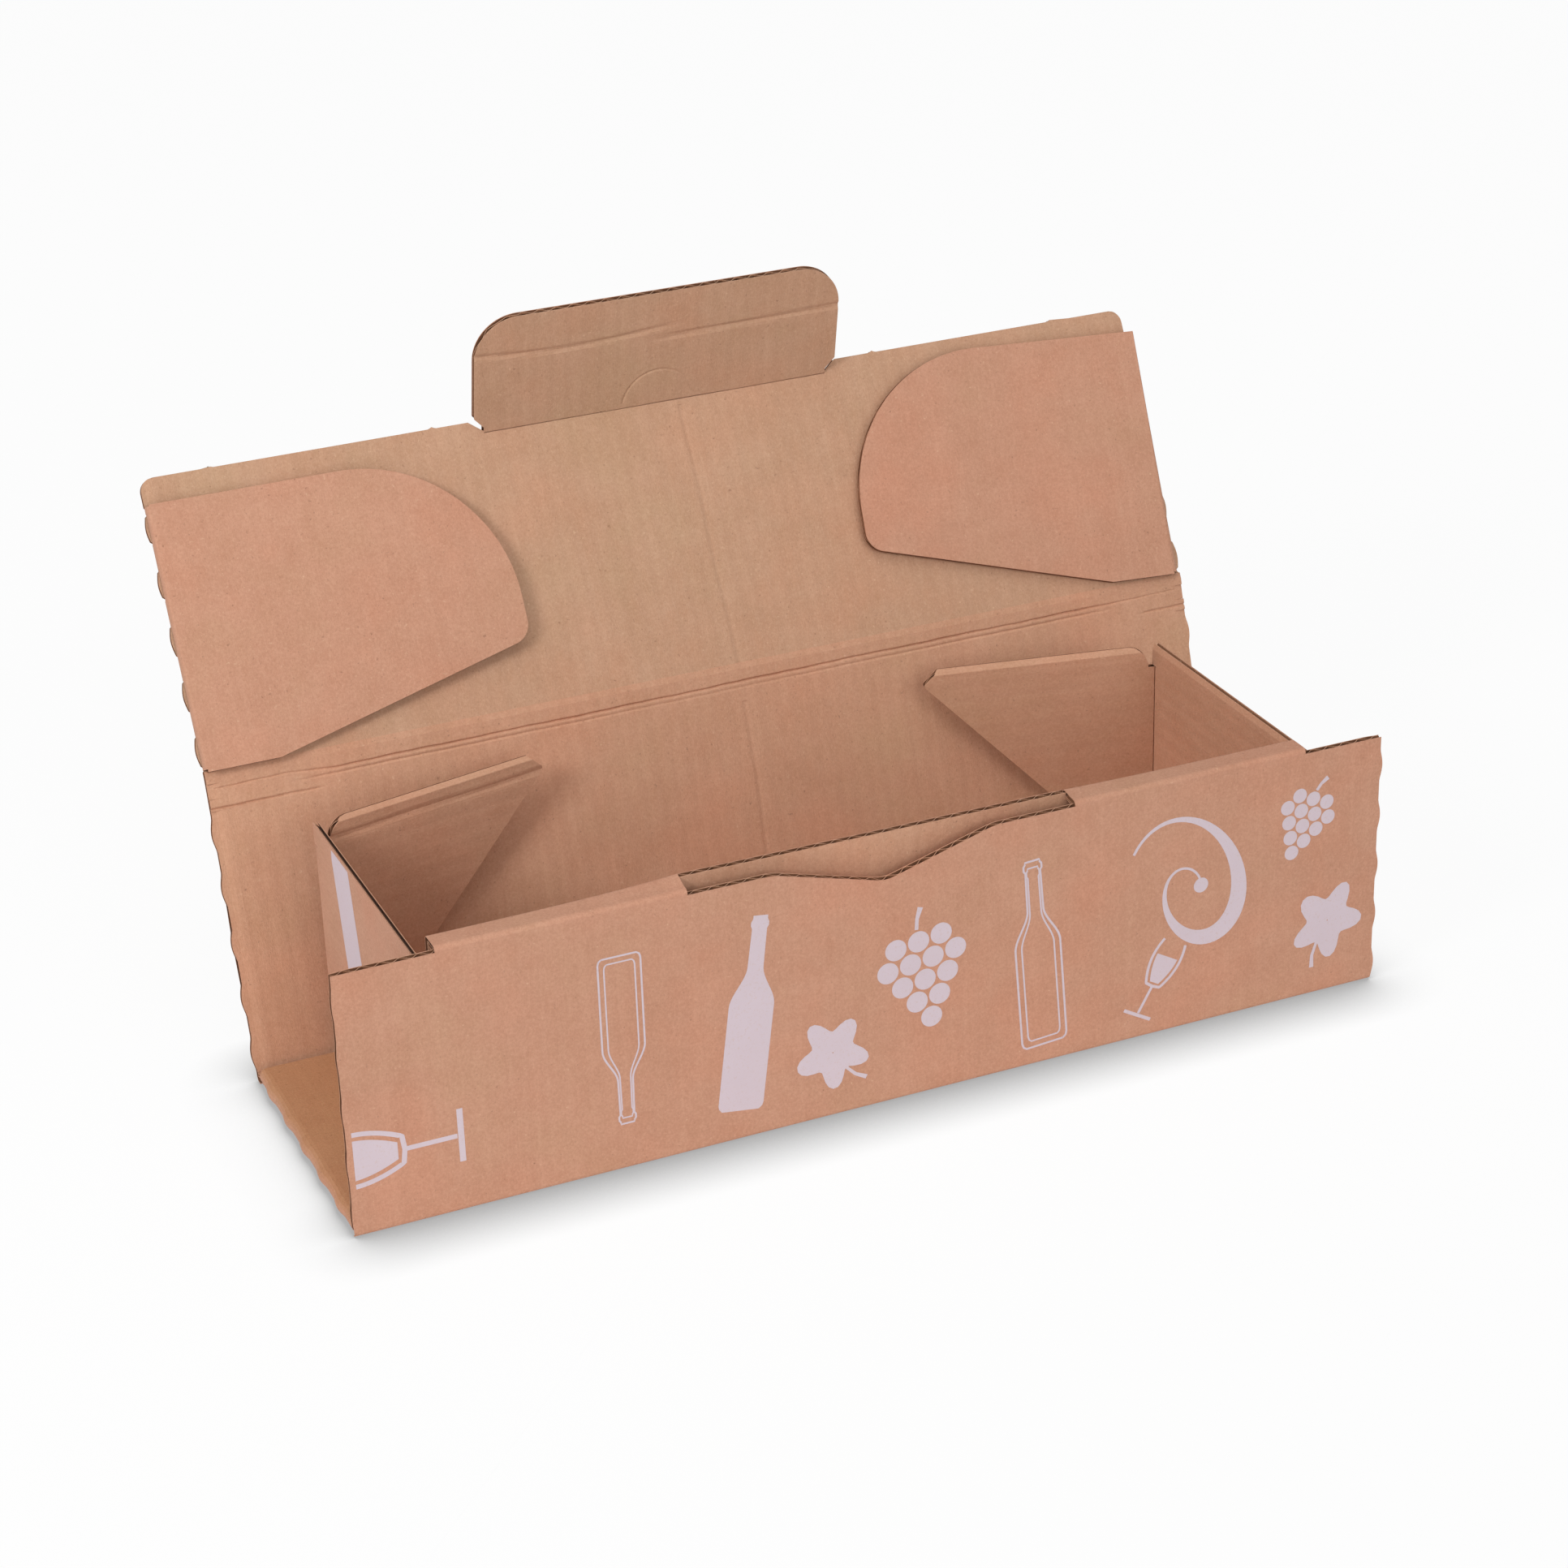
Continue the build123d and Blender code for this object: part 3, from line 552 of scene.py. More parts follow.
# End walls
def end_wall(side, name):
    """The folded length of one end: a round fold at the bottom's end, a lining over the bottom, and
    the wall. The round fold swells out a little over each tongue of the bottom."""
    turn, radius, pinched = np.linspace(-pi / 2, pi / 2, 9), LAYER_TOP / 2, 0.15
    round_out = np.stack([END_FOLD + radius * np.cos(turn), radius * (1 + np.sin(turn))], -1)
    round_in = np.stack([END_FOLD + pinched * np.cos(turn), radius + pinched * np.sin(turn)], -1)
    rise_out = bend([(END_FOLD, LAYER_TOP), (WALL_OUTSIDE, LAYER_TOP), (WALL_OUTSIDE, WALL_TOP)], 0.8)
    rise_in = bend([(END_FOLD, LAYER_BASE), (WALL_INSIDE, LAYER_BASE), (WALL_INSIDE, WALL_TOP)], 3.0)
    wall_section, marks = folded(np.concatenate([round_out, rise_out[1:]]),
                                 np.concatenate([round_in, rise_in[1:]]))

    def at(x, y, k):
        first, third = wall_section(y, k)
        swell = 0.8 * tongue_bulge(x, WALL_FRONT, WALL_BACK) * ease(first, END_FOLD, END_FOLD + radius)
        return np.stack([side * (first + swell), x, third], -1)

    def squeezed(x, y):
        """The wall's top edge is squeezed thinner over its last 3 mm."""
        return 0.32 * ease(y, marks[-1] - 3.0, marks[-1])

    # Between the cuts at the flaps' feet and shoulders, the creases take the wall's two edges
    foot = marks[-1] - WALL_TOP
    cut_low, cut_high = foot + FLAP_FOOT - 0.3, foot + FLAP_SHOULDER + 0.3
    y = merged(marks, np.linspace(0, marks[-1], 60), [cut_low - 0.05, cut_low, cut_high, cut_high + 0.05])
    at_flap = (y > cut_low - STEP) & (y < cut_high + STEP)
    board("end_wall_" + name, "tray", at, y, np.where(at_flap, WALL_FRONT + CREASE, WALL_FRONT),
          np.where(at_flap, WALL_BACK - CREASE, WALL_BACK), 54,
          [*np.arange(0, marks[-1], PITCH / 8), marks[-1]],
          fixed=np.linspace(WALL_FRONT + 4, WALL_BACK - 4, 53), across=1, press=squeezed)


def flap_outline(z):
    """Ends of an end wall's flap at height z: slanted foot edge, cut tip and round shoulder."""
    reach = np.interp(z, [FLAP_FOOT, WALL_TOP - 6.1, FLAP_TOP], [11.0, FLAP_LENGTH, FLAP_LENGTH - 6.0])
    t = np.clip((z - FLAP_SHOULDER) / (FLAP_TOP - FLAP_SHOULDER), 0, 1)
    shoulder = 5.0 + 7.5 * (1 - np.sqrt(np.clip(1 - t ** 2, 0, 1)))
    return np.where(z > FLAP_SHOULDER + STEP, shoulder, CREASE), reach


def hollows(y, depth):
    """The flutes' hollows, as they show in the inner liner: a sine along y."""
    return depth * (1 + np.sin(2 * pi * y / PITCH))


def left_flap_relief(x, y):
    """Inner face of the left back flap: a crease 6.5 mm below its crushed top, and the flutes' hollows."""
    drop = FLAP_TOP - y
    crease = 0.22 * bell(drop - 6.5 - 0.3 * np.sin(x / 9.0), 1.3)
    shown = ease(drop, 6.0, 14.0) * (1 - ease(drop, 45.0, 80.0))
    return 0.78 * (1 - ease(drop, 0.0, 1.2)) + crease + hollows(y, 0.022) * shown


def right_flap_relief(x, y):
    """Inner face of the right back flap: a top edge crushed shut, and the flutes' hollows."""
    drop = FLAP_TOP - y
    return 0.8 * (1 - ease(drop, 0.0, 1.8)) + hollows(y, 0.02) * ease(drop, 4.0, 14.0)


def wall_flap(name, body, corner, way, way_in, replaced=(), press=None):
    """A flap of an end wall: x away from its crease and y up."""
    z = merged(np.linspace(FLAP_FOOT, FLAP_TOP, 90), [FLAP_SHOULDER, FLAP_SHOULDER + 0.05],
               np.linspace(FLAP_SHOULDER + 4, FLAP_TOP, 14))
    low, high = flap_outline(z)
    board(name, body, flat(corner, way, UPWARD, way_in), z, low, high, 14,
          merged(np.arange(FLAP_FOOT, FLAP_TOP - 0.1, PITCH / 10), [FLAP_TOP]),
          replaced, across=1, press=press)


# The two points given with an upright crease lie at this height
BLEND_HEIGHT = 50.0


def corner_crease(name, side, near, far, y_start, other=None):
    """The upright fold between an end wall and a flap, as a bent strip: near and far are the
    directions from the crease along the wall and along the flap, in the box's right half."""
    corner = np.array([WALL_OUTSIDE, y_start])
    near, far = np.array(near, float), np.array(far, float)
    into = (near + far) / np.linalg.norm(near + far)
    half = np.arccos(near @ far) / 2
    inner = corner + into * BOARD / np.sin(half)
    reach = CREASE - BOARD / np.tan(half)
    out_line = bend([corner + near * CREASE, corner, corner + far * CREASE], BEND_OUTSIDE)
    in_line = bend([inner + near * reach, inner, inner + far * reach], BEND_INSIDE)
    fold_section, marks = folded(out_line, in_line)
    middle = marks[-1] / 2

    def at(x, y, k):
        first, second = fold_section(x, k)
        return np.stack([side * first, second, y], -1)

    def pinch(x, y):
        """The fold's inner corner, pinched into a groove 1 mm wide."""
        return 0.5 * bell(x - middle, 0.5)

    blend = None
    if other:
        along = (far - near) / np.linalg.norm(far - near)
        centre = corner + into * CREASE * np.cos(half)
        ends = [centre - along * 0.75, centre + along * 0.75]
        blend = (other, *[np.array([side * e[0], e[1], BLEND_HEIGHT]) for e in ends])
    board(name, "tray", at, np.linspace(FLAP_FOOT, FLAP_SHOULDER, 44), 0.0, marks[-1], 3, None,
          fixed=merged(marks[1:-1], middle + np.linspace(-1.2, 1.2, 9)), across=1, blend=blend, press=pinch)


swing_cos, swing_sin = cos(radians(BACK_FLAP_SWING)), sin(radians(BACK_FLAP_SWING))
for side, name in SIDES:
    back_flap = "back_flap_" + name
    outer_face = side * WALL_OUTSIDE * SIDEWAYS
    end_wall(side, name)
    wall_flap("front_flap_" + name, "tray", outer_face + WALL_FRONT * BACKWARD, -side * SIDEWAYS, BACKWARD)
    wall_flap("back_flap_board_" + name, back_flap, outer_face + WALL_BACK * BACKWARD,
              np.array([-side * swing_cos, swing_sin, 0.0]), np.array([-side * swing_sin, -swing_cos, 0.0]),
              (back_flap,), left_flap_relief if side < 0 else right_flap_relief)
    corner_crease("front_flap_crease_" + name, side, (0, 1), (-1, 0), WALL_FRONT)
    corner_crease("back_flap_crease_" + name, side, (0, -1), (-swing_cos, swing_sin), WALL_BACK, back_flap)

# Back wall
rows = np.linspace(CREASE, HEIGHT - SPINE_CREASE, 90)
back_half = END + tongue_bulge(rows, 0, HEIGHT, -0.5)
board("back_wall_board", "back_wall", leaning(back_crease, BACK_LEAN), rows, -back_half, back_half, 3,
      [CREASE, 50, HEIGHT - SPINE_CREASE], ("back_wall",), fixed=WITH_CRUSHED, press=crushed_flute)


# Spine strip
def spine_lines(x, y):
    """The two pressed lines of the spine: grooves 0.8 mm wide and 2 mm apart that wander by a fifth of a
    millimetre. The upper one is sharp and climbs at its left end, the lower one is soft and fades."""
    wander = 0.1 * np.sin(x / 7.3) + 0.06 * np.sin(x / 2.1 + 1.0) + 0.12 * np.sin(x / 31.0)
    upper = 5.4 + 0.0042 * x + 1.4 * ease(-x, 150.0, 172.0) + wander
    lower = 3.3 + 0.0035 * x + 0.6 * wander
    sharp = 0.3 * (0.85 + 0.15 * np.sin(x / 11.0)) * (1 - 0.5 * ease(np.abs(x), 150.0, 172.0))
    soft = 0.15 * (1 - 0.6 * bell(x, 90.0)) * (1 - ease(np.abs(x), 150.0, 175.0))
    return np.maximum(end_press(x, y), sharp * bell(y - upper, 0.4) + soft * bell(y - lower, 0.5))


board("spine_strip_board", "spine_strip", leaning(strip_crease, STRIP_LEAN),
      np.linspace(SPINE_CREASE, STRIP_WIDTH - SPINE_CREASE, 30), -END, END, 3, None, ("spine_strip",),
      fixed=np.linspace(-198, 198, 265), press=spine_lines)

# Lid, narrower between its tongues, where the flaps' round fold begins
rows = merged(np.linspace(SPINE_CREASE, LID_DEPTH, 96), np.linspace(LID_DEPTH - LID_ROUND, LID_DEPTH, 16))
at_fold = ((from_tongue(rows, 0, LID_DEPTH, LID_TONGUES) > TONGUE_CUT)
           & (rows > LID_FLAP_FOOT + 1) & (rows < LID_FLAP_TOP - 0.5))
lid_half = (np.where(at_fold, LID_END, END + tongue_bulge(rows, 0, LID_DEPTH, LID_TONGUES))
            - round_corner(rows, LID_DEPTH, LID_ROUND))
notch_x = np.array([-74.9, -TAB_ROOT / 2 - 0.3, TAB_ROOT / 2 + 0.3, 74.9])
nibs = np.array([-174.0, -89.0, 91.0, 169.0])


def lid_edge(x):
    """Reach of the lid's front edge: straight with four small nibs where the die left them, and set
    back in the notch at the tuck tab. A nib is a bell of 0.7 mm."""
    edge = np.interp(x, notch_x, [LID_DEPTH, TAB_CREASE - 0.15, TAB_CREASE - 0.15, LID_DEPTH])
    edge = edge + 0.7 * bell(np.min(np.abs(x[..., None] - nibs), -1), 0.8)
    return np.where(np.abs(x) < TAB_ROOT / 2, TAB_CREASE - CREASE, edge)


def lid_at(x, y, k):
    """The lid, with its last 25 mm drawn to its front edge."""
    return leaning(lid_crease, LID_LEAN)(x, drawn(y, LID_DEPTH, lid_edge(x), 25.0), k)


root_steps = TAB_ROOT / 2 + np.array([-STEP, STEP])
lid_columns = merged(WITH_CRUSHED, notch_x, root_steps, -root_steps, np.linspace(-76, 76, 21),
                     (nibs[:, None] + np.linspace(-1.6, 1.6, 5)).ravel())
# Past this x the columns draw in, so that they stay inside the rounded corners
STRAIGHT, WIDEST = 150.0, 198.5
outward = (np.abs(lid_columns) - STRAIGHT) / (WIDEST - STRAIGHT)
limit = np.minimum(lid_half[:, None] - 1.0, WIDEST)
lid_columns = np.where(outward > 0, np.sign(lid_columns) * (STRAIGHT + outward * (limit - STRAIGHT)),
                       lid_columns)
board("lid_board", "lid", lid_at, rows, -lid_half, lid_half, 3,
      [SPINE_CREASE, 60, *(LID_DEPTH - np.array([25, 18, 12, 6, 0]))], ("lid",), fixed=lid_columns,
      press=crushed_flute)

# Tuck tab
rows = merged(np.linspace(CREASE, TAB_LENGTH, 40), np.linspace(CREASE, MOON_REACH, 45),
              TAB_LENGTH - TAB_ROUND * (1 - np.sin(np.linspace(0, pi / 2, 22))))
# The tab grows from its root to its full width over its first 7.5 mm
flare = np.interp(rows, [3.2, 7.5], [TAB_ROOT / 2, TAB_WIDTH / 2])
tab_half = flare - round_corner(rows, TAB_LENGTH, TAB_ROUND)


def tab_wrinkles(x, y):
    """Two soft bends across the tab, where it was pressed, and the shallow half-moon cut."""
    upper = 0.24 * bell(33.5 + 2.0 * np.sin(x / 23.0) - y, 0.95) * ease(-x, -12, 10)
    lower = 0.24 * bell(29.0 + 0.02 * x - y, 0.95) * ease(x, -8, 12)
    moon = 0.13 * bell(np.hypot(x, y - 1.1) - MOON_RADIUS, 0.4) * (0.35 + 0.65 * ease(-x, -12, 4))
    return upper + lower + moon


# Columns half a millimetre apart at the half-moon, and wider ones that follow the rounded corners
spread = MOON_REACH + (tab_half[:, None] - MOON_REACH) * np.linspace(0, 1, 30)[1:-1]
moon_columns = np.broadcast_to(np.linspace(-MOON_REACH, MOON_REACH, 69), (len(rows), 69))
board("tuck_tab_board", "tuck_tab", leaning(tab_crease, TAB_LEAN), rows, -tab_half, tab_half, 3,
      [CREASE, 8, 20, 26, *np.arange(27.0, 37.0, 0.45), 38, 41, 43.5, 45.5, 47, 47.8, TAB_LENGTH],
      ("tuck_tab",), fixed=np.concatenate([-spread[:, ::-1], moon_columns, spread], 1), press=tab_wrinkles)


# Folds along the box
def long_crease(name, one, two, corner, lean_one, lean_two, columns, press_depth, swing_room,
                reach=SPINE_CREASE, half=END, line=None):
    """A fold along the box between two panels that move: a bent strip, fixed in place and attached to neither
    panel.
    line(x) gives how far its groove lies from the middle, and how much of the depth it has there."""
    near, far = -lean_up(lean_one)[1:], lean_up(lean_two)[1:]
    in_one, in_two = lean_in(lean_one)[1:], lean_in(lean_two)[1:]
    spot = corner[1:]
    start, end = spot + near * reach, spot + far * reach
    turned = np.arccos(np.clip(-near @ far, -1, 1))
    if turned < 0.01:
        out_line = np.linspace(start, end, 9)
        in_line = out_line + BOARD * in_one
    else:
        inner = spot + (in_one + in_two) / np.linalg.norm(in_one + in_two) * BOARD / np.cos(turned / 2)
        out_line = bend([start, spot, end], BEND_OUTSIDE, 9)
        in_line = bend([start + BOARD * in_one, inner, end + BOARD * in_two], BEND_INSIDE, 9)
    fold_section, marks = folded(out_line, in_line)
    way = np.concatenate([[0.0], (end - start) / np.linalg.norm(end - start)])
    centre = np.concatenate([[0.0], (start + end) / 2])

    def groove(x, y):
        """The pressed line: 1 mm wide. It wanders by a fifth of a millimetre and varies in depth."""
        wander = 0.08 * np.sin(x / 7.3) + 0.07 * np.sin(x / 2.1 + 1.0)
        offset, share = line(x) if line else (0.0, 1.0)
        depth = share * press_depth * (0.8 + 0.2 * np.sin(x / 11.0 + 0.4))
        return depth * bell(y - marks[-1] / 2 - offset - wander, 0.45)

    board(name, one, along_box(fold_section), merged(marks, np.linspace(0, marks[-1], 13)), -half, half, 3,
          None, fixed=columns, press=groove,
          blend=(two, centre - way * swing_room, centre + way * swing_room))


def end_wrinkle(x):
    """The groove shows only near the ends: low on the left end's last 40 mm, and on the right's last 18."""
    return np.where(x < 0, -1.4, -0.3), ease(-x, 156.0, 164.0) + ease(x, 178.0, 184.0)


ENDS_FINE = merged(WIDE, np.linspace(-198, -150, 33), np.linspace(172, 198, 18))
long_crease("back_wall_crease", "tray", "back_wall", back_crease, LYING, BACK_LEAN, WIDE,
            press_depth=0.25, swing_room=0.95, reach=CREASE)
long_crease("strip_crease", "back_wall", "spine_strip", strip_crease, BACK_LEAN, STRIP_LEAN, ENDS_FINE,
            press_depth=0.3, swing_room=1.1, line=end_wrinkle)
long_crease("lid_crease", "spine_strip", "lid", lid_crease, STRIP_LEAN, LID_LEAN, WIDE,
            press_depth=0.0, swing_room=1.1)
long_crease("tuck_tab_crease", "lid", "tuck_tab", tab_crease, LID_LEAN, TAB_LEAN, np.linspace(-66, 66, 23),
            press_depth=0.3, swing_room=1.3, reach=CREASE, half=TAB_ROOT / 2)

# Lid flaps, folded through a half turn onto the lid. Their outline: a slanted edge, a toe and a crown
FLAP_CORNERS = [(0, LID_FLAP_FOOT), (LID_FLAP_KNEE, LID_FLAP_FOOT), (LID_FLAP_REACH, LID_FLAP_TOE),
                (LID_FLAP_REACH, LID_FLAP_TOP), (0, LID_FLAP_TOP)]
ROUNDINGS = ((4.0, 9), (8.0, 12), (58.0, 40))
outline = np.concatenate([bend(FLAP_CORNERS[number:number + 3], radius, steps)[1:-1]
                          for number, (radius, steps) in enumerate(ROUNDINGS)])
outline = outline[np.argsort(outline[:, 1], kind="stable")]
flap_rows = merged(outline[:, 1], np.linspace(LID_FLAP_FOOT, LID_FLAP_TOP, 84))
flap_rows = flap_rows[(flap_rows >= LID_FLAP_FOOT) & (flap_rows <= LID_FLAP_TOP)]
flap_reach = np.interp(flap_rows, outline[:, 1], outline[:, 0])
flap_flutes = merged(np.linspace(LID_FLAP_FOOT, 24, 14), np.linspace(26, 41, 4),
                     np.linspace(44, LID_FLAP_TOP, 26))

# The half turn's middle lies just off the lid's inner face. On the round fold x counts along a
# half circle of 10 mm radius
HINGE_DEPTH, FOLD_RADIUS = BOARD + 0.15, 10.0


def by_lid(x, y, depth):
    """A place by the lid: x along the box, y up the lid, and depth in from the lid's outer face."""
    return (lid_crease + x[..., None] * SIDEWAYS + y[..., None] * lean_up(LID_LEAN)
            + depth[..., None] * lean_in(LID_LEAN))


def past_tongues(x, y):
    """The round fold's cells that stay: at a tongue only its upper half, over the tongue."""
    return (from_tongue(y, 0, LID_DEPTH, LID_TONGUES) > TONGUE_CUT) | (x > FOLD_RADIUS * pi / 2)


def lid_flap(side, name, skew, stand_off):
    """One lid flap, and the round fold between it and the lid's end, cut at each tongue."""
    axis = lean_up(LID_LEAN) * cos(skew) + SIDEWAYS * sin(skew)
    hinge = by_lid(np.array(0.0), np.array((LID_FLAP_FOOT + LID_FLAP_TOP) / 2), np.array(HINGE_DEPTH))
    pivot = hinge + side * (END + 0.2) * SIDEWAYS

    def flap_at(x, y, k):
        """Laid beside the lid's end and turned half round about its crease: twice the arm's share along
        the axis, less the arm. The tip stands off the lid."""
        arm = by_lid(side * x, y, BOARD * k - stand_off * ease(x, 240.0, 345.0)) - pivot
        return pivot + 2 * (arm @ axis)[..., None] * axis - arm

    def fold_at(x, y, k):
        """A half ellipse from the lid's outer face round to the flap's outer face."""
        turn = x / FOLD_RADIUS
        first = LID_END + skew * (y - LID_FLAP_TOP / 2) * (turn / pi) * 2 + (1.15 - k) * np.sin(turn)
        return by_lid(side * first, y, HINGE_DEPTH - (HINGE_DEPTH - BOARD * k) * np.cos(turn))

    board("lid_flap_board_" + name, "lid_flap_" + name, flap_at, flap_rows, END + 1.4, END + 0.4 + flap_reach,
          40, flap_flutes, ("lid_flap_" + name,))
    centre = hinge + side * LID_END * SIDEWAYS
    board("lid_flap_crease_" + name, "lid", fold_at, np.linspace(LID_FLAP_FOOT + 1, LID_FLAP_TOP - 0.5, 80),
          0.0, FOLD_RADIUS * pi, 11, None, keep=past_tongues,
          blend=("lid_flap_" + name, centre - 1.4 * lean_in(LID_LEAN), centre + 1.4 * lean_in(LID_LEAN)))


lid_flap(-1, "left", skew=0.0, stand_off=2.2)
lid_flap(1, "right", skew=radians(RIGHT_FLAP_SKEW), stand_off=1.2)


# Print: pale motifs of plain shapes
def patch(points, at, lift):
    """A field of ink: a grid of flat points (x, y), carried to the panel, just off its face."""
    x, y = points[..., 0], points[..., 1]
    quads = quads_of(*x.shape).reshape(-1, 4)
    placed = at(x, y, np.full(x.shape, -lift / BOARD)).reshape(-1, 3)
    below = at(x, y, np.ones(x.shape)).reshape(-1, 3)
    corners = placed[quads]
    facing = np.cross(corners[:, 1] - corners[:, 0], corners[:, 2] - corners[:, 1]).sum(0)
    if facing @ (placed - below).sum(0) < 0:
        quads = quads[:, ::-1]
    return placed, quads, points.reshape(-1, 2), [(INK, len(quads))]


def blob(x, y, wide, high, turn=0.0, lobes=0, depth=0.0, tip=0.0):
    """A filled round field, scaled and turned. Its radius is 1 plus depth times the cosine of lobes times
    the angle, with a small tip on top."""
    angle = np.linspace(0, 2 * pi, 49)
    radius = 1 + depth * np.cos(lobes * angle) + tip * bell(angle - pi / 2, 0.25)
    share = np.linspace(0.02, 1, 4)[:, None]
    px, py = wide * share * radius * np.cos(angle), high * share * radius * np.sin(angle)
    return np.stack([x + px * cos(turn) - py * sin(turn), y + px * sin(turn) + py * cos(turn)], -1)


def stroke(line, width):
    """A ribbon along a line of points, as wide as width at each of them, square to the line."""
    line, width = np.asarray(line, float), np.broadcast_to(width, len(line))
    way = np.gradient(line, axis=0)
    square = np.stack([-way[:, 1], way[:, 0]], -1) / np.linalg.norm(way, axis=1)[:, None]
    return np.stack([line - square * width[:, None] / 2, line + square * width[:, None] / 2])


def mirrored(half_width, height):
    """A filled field between a line and its mirror image, given its half width at each height."""
    right = np.stack([half_width, height], -1)
    return np.stack([right * [-1, 1], right])


def move(shapes, x, y, turn, scale=1.0):
    """Turns, scales and shifts a list of shapes on the sheet."""
    spin = np.array([[cos(turn), sin(turn)], [-sin(turn), cos(turn)]]) * scale
    return [s @ spin + np.array([x, y]) for s in shapes]


def bottle_profile(t):
    """Half width of a bottle at height share t: round foot, straight body, smooth shoulder, neck, lip."""
    foot = np.interp(t, [0, 0.01, 0.03], [8.2, 9.4, 10.0])
    return foot - (5.6 + 1.2 * t) * ease(t, 0.54, 0.74) + 0.7 * (np.abs(t - 0.965) < 0.018)


def bottle(tall):
    """A filled bottle, standing on the origin."""
    t = np.linspace(0, 1, 60)
    return [mirrored(bottle_profile(t), t * tall)]


def bottle_outline(tall, width=0.9):
    """A bottle drawn as a double line."""
    t = np.linspace(0, 1, 90)
    right = np.stack([bottle_profile(t), t * tall], -1)
    line = np.concatenate([right, (right * [-1, 1])[::-1], right[:1]])
    return [stroke(line, width), stroke(line * [0.72, 0.93] + [0, tall * 0.035], width * 0.8)]


def bowl_width(t):
    """Half width of a glass's bowl at share t of its height: part of a sine, drawn in to the rim."""
    return 9.5 * np.sin(pi * (0.16 + 0.52 * t)) * (1 - 0.12 * t)


def glass(width=1.6):
    """A stemmed glass in line, with a filled bowl half."""
    t = np.linspace(0, 1, 40)
    bowl = np.stack([bowl_width(t), 44 - 26 * (1 - t)], -1)
    line = np.concatenate([(bowl * [-1, 1])[::-1], [[0.0, 17.4]], bowl])
    level = np.linspace(0.02, 0.62, 20)
    return [stroke(line, width), mirrored(bowl_width(level) - 2.0, 45.0 - 26 * (1 - level)),
            stroke([[0, 17.0], [0, 9.0], [0, 1.2]], width),
            stroke(np.stack([np.linspace(-9, 9, 9), np.zeros(9)], -1), 1.9)]


def grapes(size=4.6):
    """A bunch of grapes: discs in rows of three, four, three, two and one, with a short stalk."""
    spots = [((c - (n - 1) / 2) * 2.16 * size, -r * 1.9 * size)
             for r, n in enumerate([3, 4, 3, 2, 1]) for c in range(n)]
    return [blob(x, y, size, size) for x, y in spots] + [
        stroke([[0, size * 1.2], [1.0, size * 2.2], [3.2, size * 3.2]], [1.6, 1.6, 2.4])]


def leaf(size=15.0):
    """A vine leaf with five lobes, and its stalk."""
    return [blob(0, 0, size, size * 0.92, pi / 2, 5, 0.27, 0.1),
            stroke([[0, -size * 0.7], [1.2, -size * 1.15], [4.0, -size * 1.5]], [1.4, 1.6, 2.2])]


def curl(size=30.0, turns=1.35):
    """A pen curl: a spiral whose stroke swells in its middle and ends in a drop."""
    t = np.linspace(0, 1, 90)
    radius, angle = size * (0.16 + 0.84 * t), 2 * pi * turns * t
    line = np.stack([radius * np.cos(angle) * 0.72, radius * np.sin(angle)], -1)
    return [stroke(line, 0.8 + 5.6 * bell(t - 0.62, 0.2)), blob(*line[0], 2.6, 2.6)]


def printed(name, at, shapes, low, high):
    """Prints shapes on a panel of the tray. What stands past its limits is pressed to its edge.
    Each field lies 0.03 mm off the paper, and neighbours differ by 0.004 mm, so that none flicker."""
    parts = [patch(np.clip(shape, low, high), at, 0.03 + 0.004 * (number % 3))
             for number, shape in enumerate(shapes)]
    piece(name, parts, "tray")


front_print = (move(bottle(88), -58, 12, radians(-8), 0.86) + move(glass(), -160, 30, radians(90), 1.15)
               + move(bottle_outline(84), -100, 84, radians(180), 0.78) + move(grapes(), 12, 62, 0.15, 0.9)
               + move(leaf(), -22, 26, 0.6, 0.8) + move(bottle_outline(84), 62, 8, radians(4), 0.9)
               + move(curl(), 122, 56, 0.4, 1.15) + move(glass(), 100, 10, radians(-30), 0.7)
               + move(leaf(), 180, 30, -0.5, 0.85) + move(grapes(3.6), 172, 82, -0.4, 0.8))
printed("front_wall_print", flat(FRONT * BACKWARD, SIDEWAYS, UPWARD, BACKWARD), front_print,
        (-198, BEND_OUTSIDE + 0.3), (198, 99.5))
END_PRINTS = {"left": move(bottle(84), -14, 52, 0.22) + move(leaf(), 26, 40, 0.3),
              "right": move(glass(), -22, 40, 0.5, 1.1) + move(grapes(), 26, 66, 0.2, 0.9)}
for side, name in SIDES:
    wall_face = flat(side * WALL_OUTSIDE * SIDEWAYS, side * BACKWARD, UPWARD, -side * SIDEWAYS)
    printed("end_wall_print_" + name, wall_face, END_PRINTS[name], (-50, 9.0), (50, 99.0))


# Stage: white floor, soft light, camera
def white_sweep():
    """White paper sweep. The camera sees it part self-lit, so that it is white; the glow dims within
    30 mm of the object, which keeps the object's soft shadow on it."""
    sweep, tree = bare_tree("white_sweep")
    matt = node(tree, "BsdfDiffuse", Color=linear("#F2F2F2"))
    seen = node(tree, "LightPath")
    share = node(tree, "Math", {0: seen.outputs["Is Camera Ray"]}, _1=0.93, operation="MULTIPLY")
    near = node(tree, "AmbientOcclusion", Distance=0.03)
    dim = node(tree, "MapRange", {"Value": near.outputs["AO"]}, From_Min=0.5, To_Min=0.42, To_Max=1.0)
    glow = node(tree, "Emission", {"Strength": dim}, Color=WHITE)
    both = node(tree, "MixShader", {0: share, 1: matt, 2: glow})
    node(tree, "OutputMaterial", {"Surface": both})
    return sweep


bpy.ops.mesh.primitive_plane_add(size=24.0, location=(0, 0, -0.0002))
floor = bpy.context.object
floor.name = "floor"
floor.data.materials.append(white_sweep())

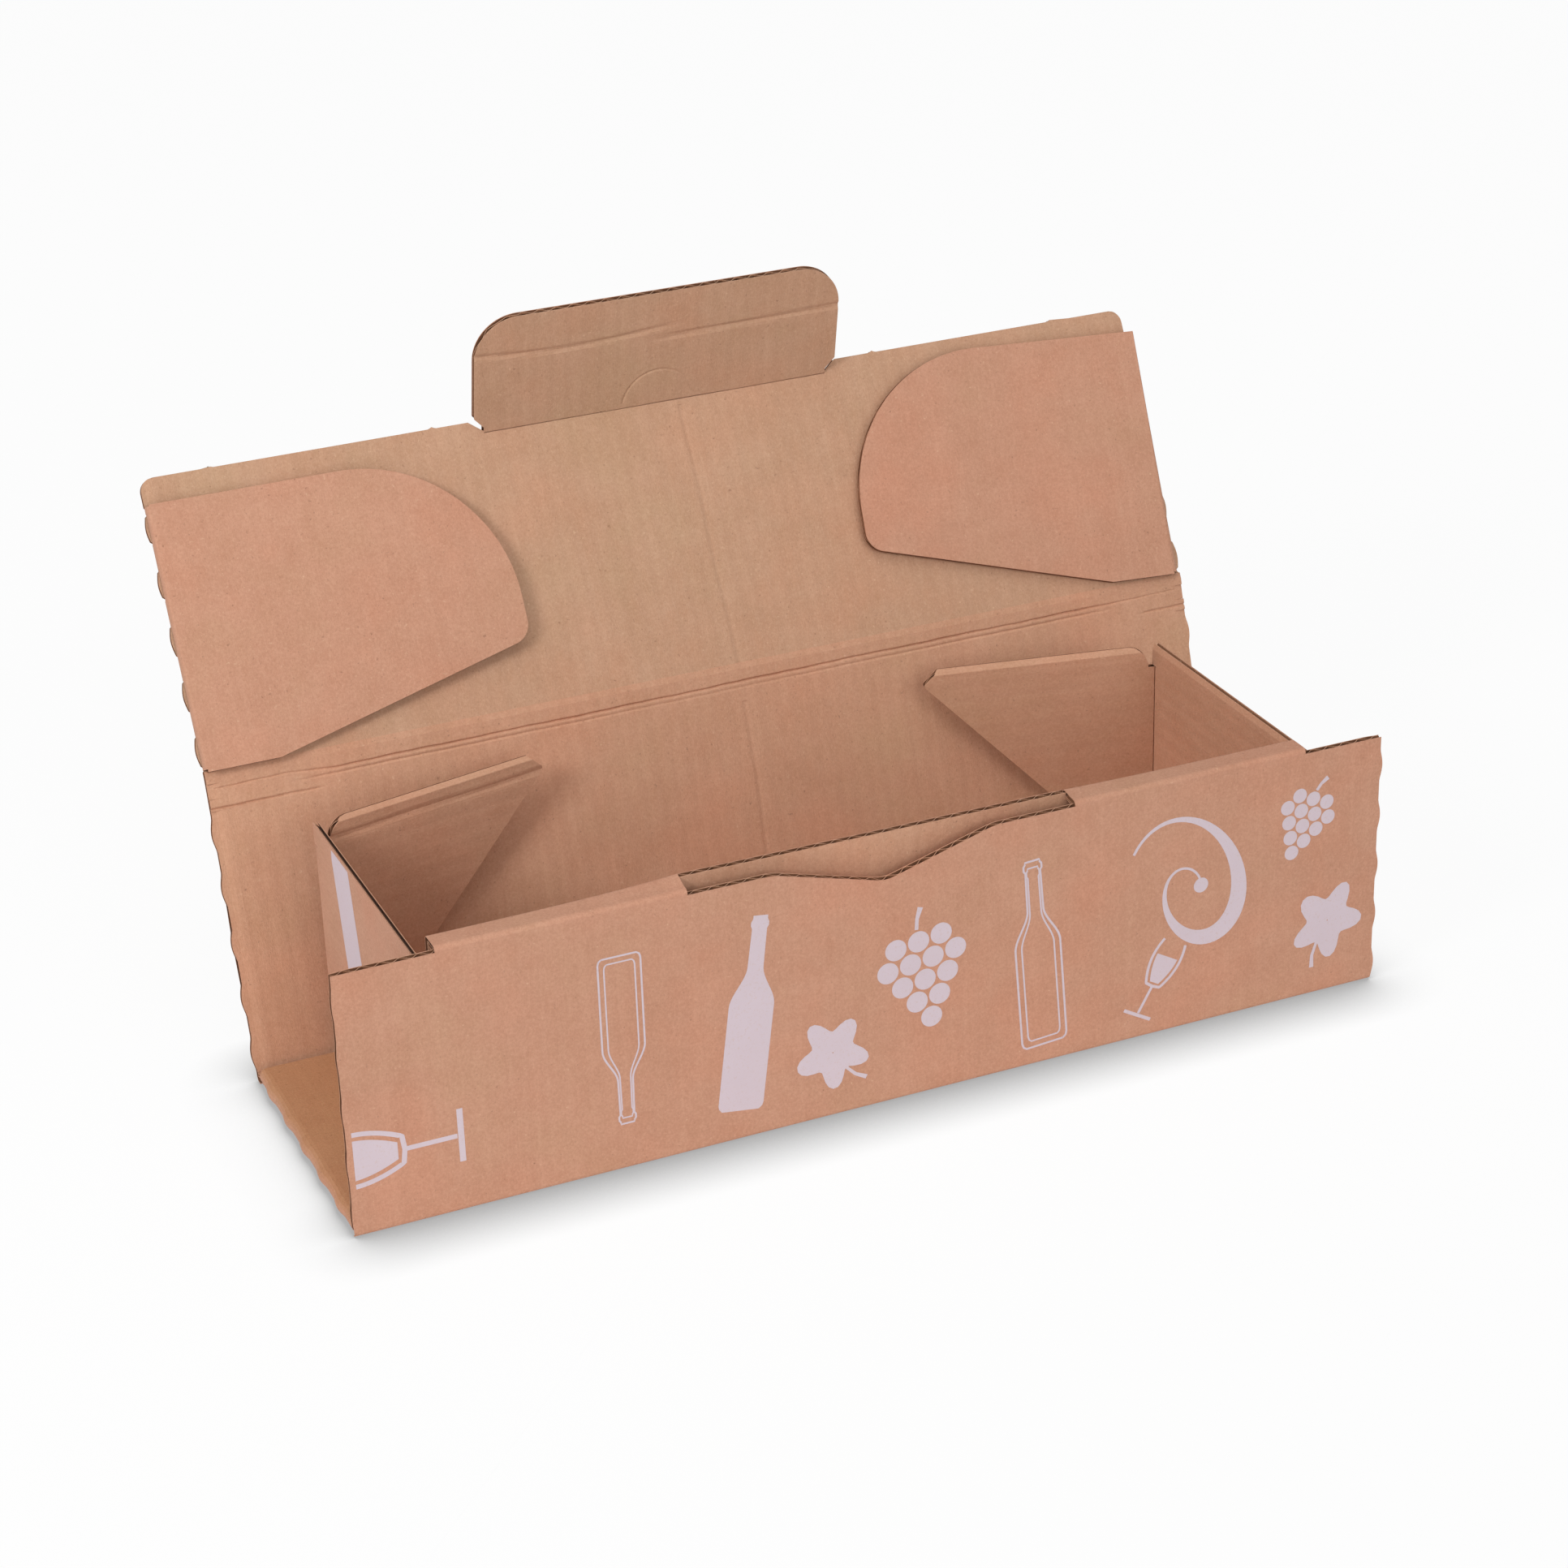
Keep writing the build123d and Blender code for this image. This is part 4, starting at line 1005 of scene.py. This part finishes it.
# The room gives a dim even light, and looks white itself, also in a reflection
world = bpy.data.worlds.new("studio")
bpy.context.scene.world = world
world.use_nodes = True
sky = world.node_tree
sky.nodes.clear()
path = node(sky, "LightPath")
plain = node(sky, "Background", Color=WHITE, Strength=0.19)
white = node(sky, "Background", Color=WHITE, Strength=1.0)
direct = node(sky, "Math", {0: path.outputs["Is Camera Ray"], 1: path.outputs["Is Glossy Ray"]},
              operation="MAXIMUM")
mixed = node(sky, "MixShader", {0: direct, 1: plain, 2: white})
node(sky, "OutputWorld", {"Surface": mixed})


def lamp(name, kind, place, target, **settings):
    """A lamp at a place, turned to a target. A sun's angle is how wide it looks."""
    light = bpy.data.lights.new(name, kind)
    for key, value in settings.items():
        setattr(light, key, value)
    made = bpy.data.objects.new(name, light)
    bpy.context.scene.collection.objects.link(made)
    made.location = place
    made.rotation_euler = (Vector(target) - Vector(place)).to_track_quat("-Z", "Y").to_euler()


# A square key lamp near the box, whose light falls off along it, and two wide lamps far away
lamp("key_softbox", "AREA", (-1.6, -0.7, 1.15), (0, 0, 0.1), shape="SQUARE", size=0.6, energy=18.5)
lamp("top_softbox", "SUN", (-0.2, -0.5, 2.4), (0, 0, 0), angle=radians(55.0), energy=0.98)
lamp("front_softbox", "SUN", (0.4, -2.4, 0.85), (0, 0, 0), angle=radians(50.0), energy=1.02)

# The camera that took the photo: its directions, and its place in millimetres
RIGHT, DOWN, FORWARD = (0.9147, -0.4031, -0.0298), (-0.2002, -0.3877, -0.8998), (0.3511, 0.8290, -0.4353)
CAMERA_PLACE = (-458.4, -1052.95, 656.6)
camera_data = bpy.data.cameras.new("photo_camera")
camera_data.sensor_width, camera_data.lens = 36.0, 81.6
camera_data.clip_start, camera_data.clip_end = 0.05, 40.0
camera = bpy.data.objects.new("photo_camera", camera_data)
bpy.context.scene.collection.objects.link(camera)
camera.matrix_world = Matrix([[right, -down, -forward, spot * 0.001] for right, down, forward, spot
                              in zip(RIGHT, DOWN, FORWARD, CAMERA_PLACE)] + [[0, 0, 0, 1]])
bpy.context.scene.camera = camera
bpy.context.scene.view_settings.view_transform = "Standard"
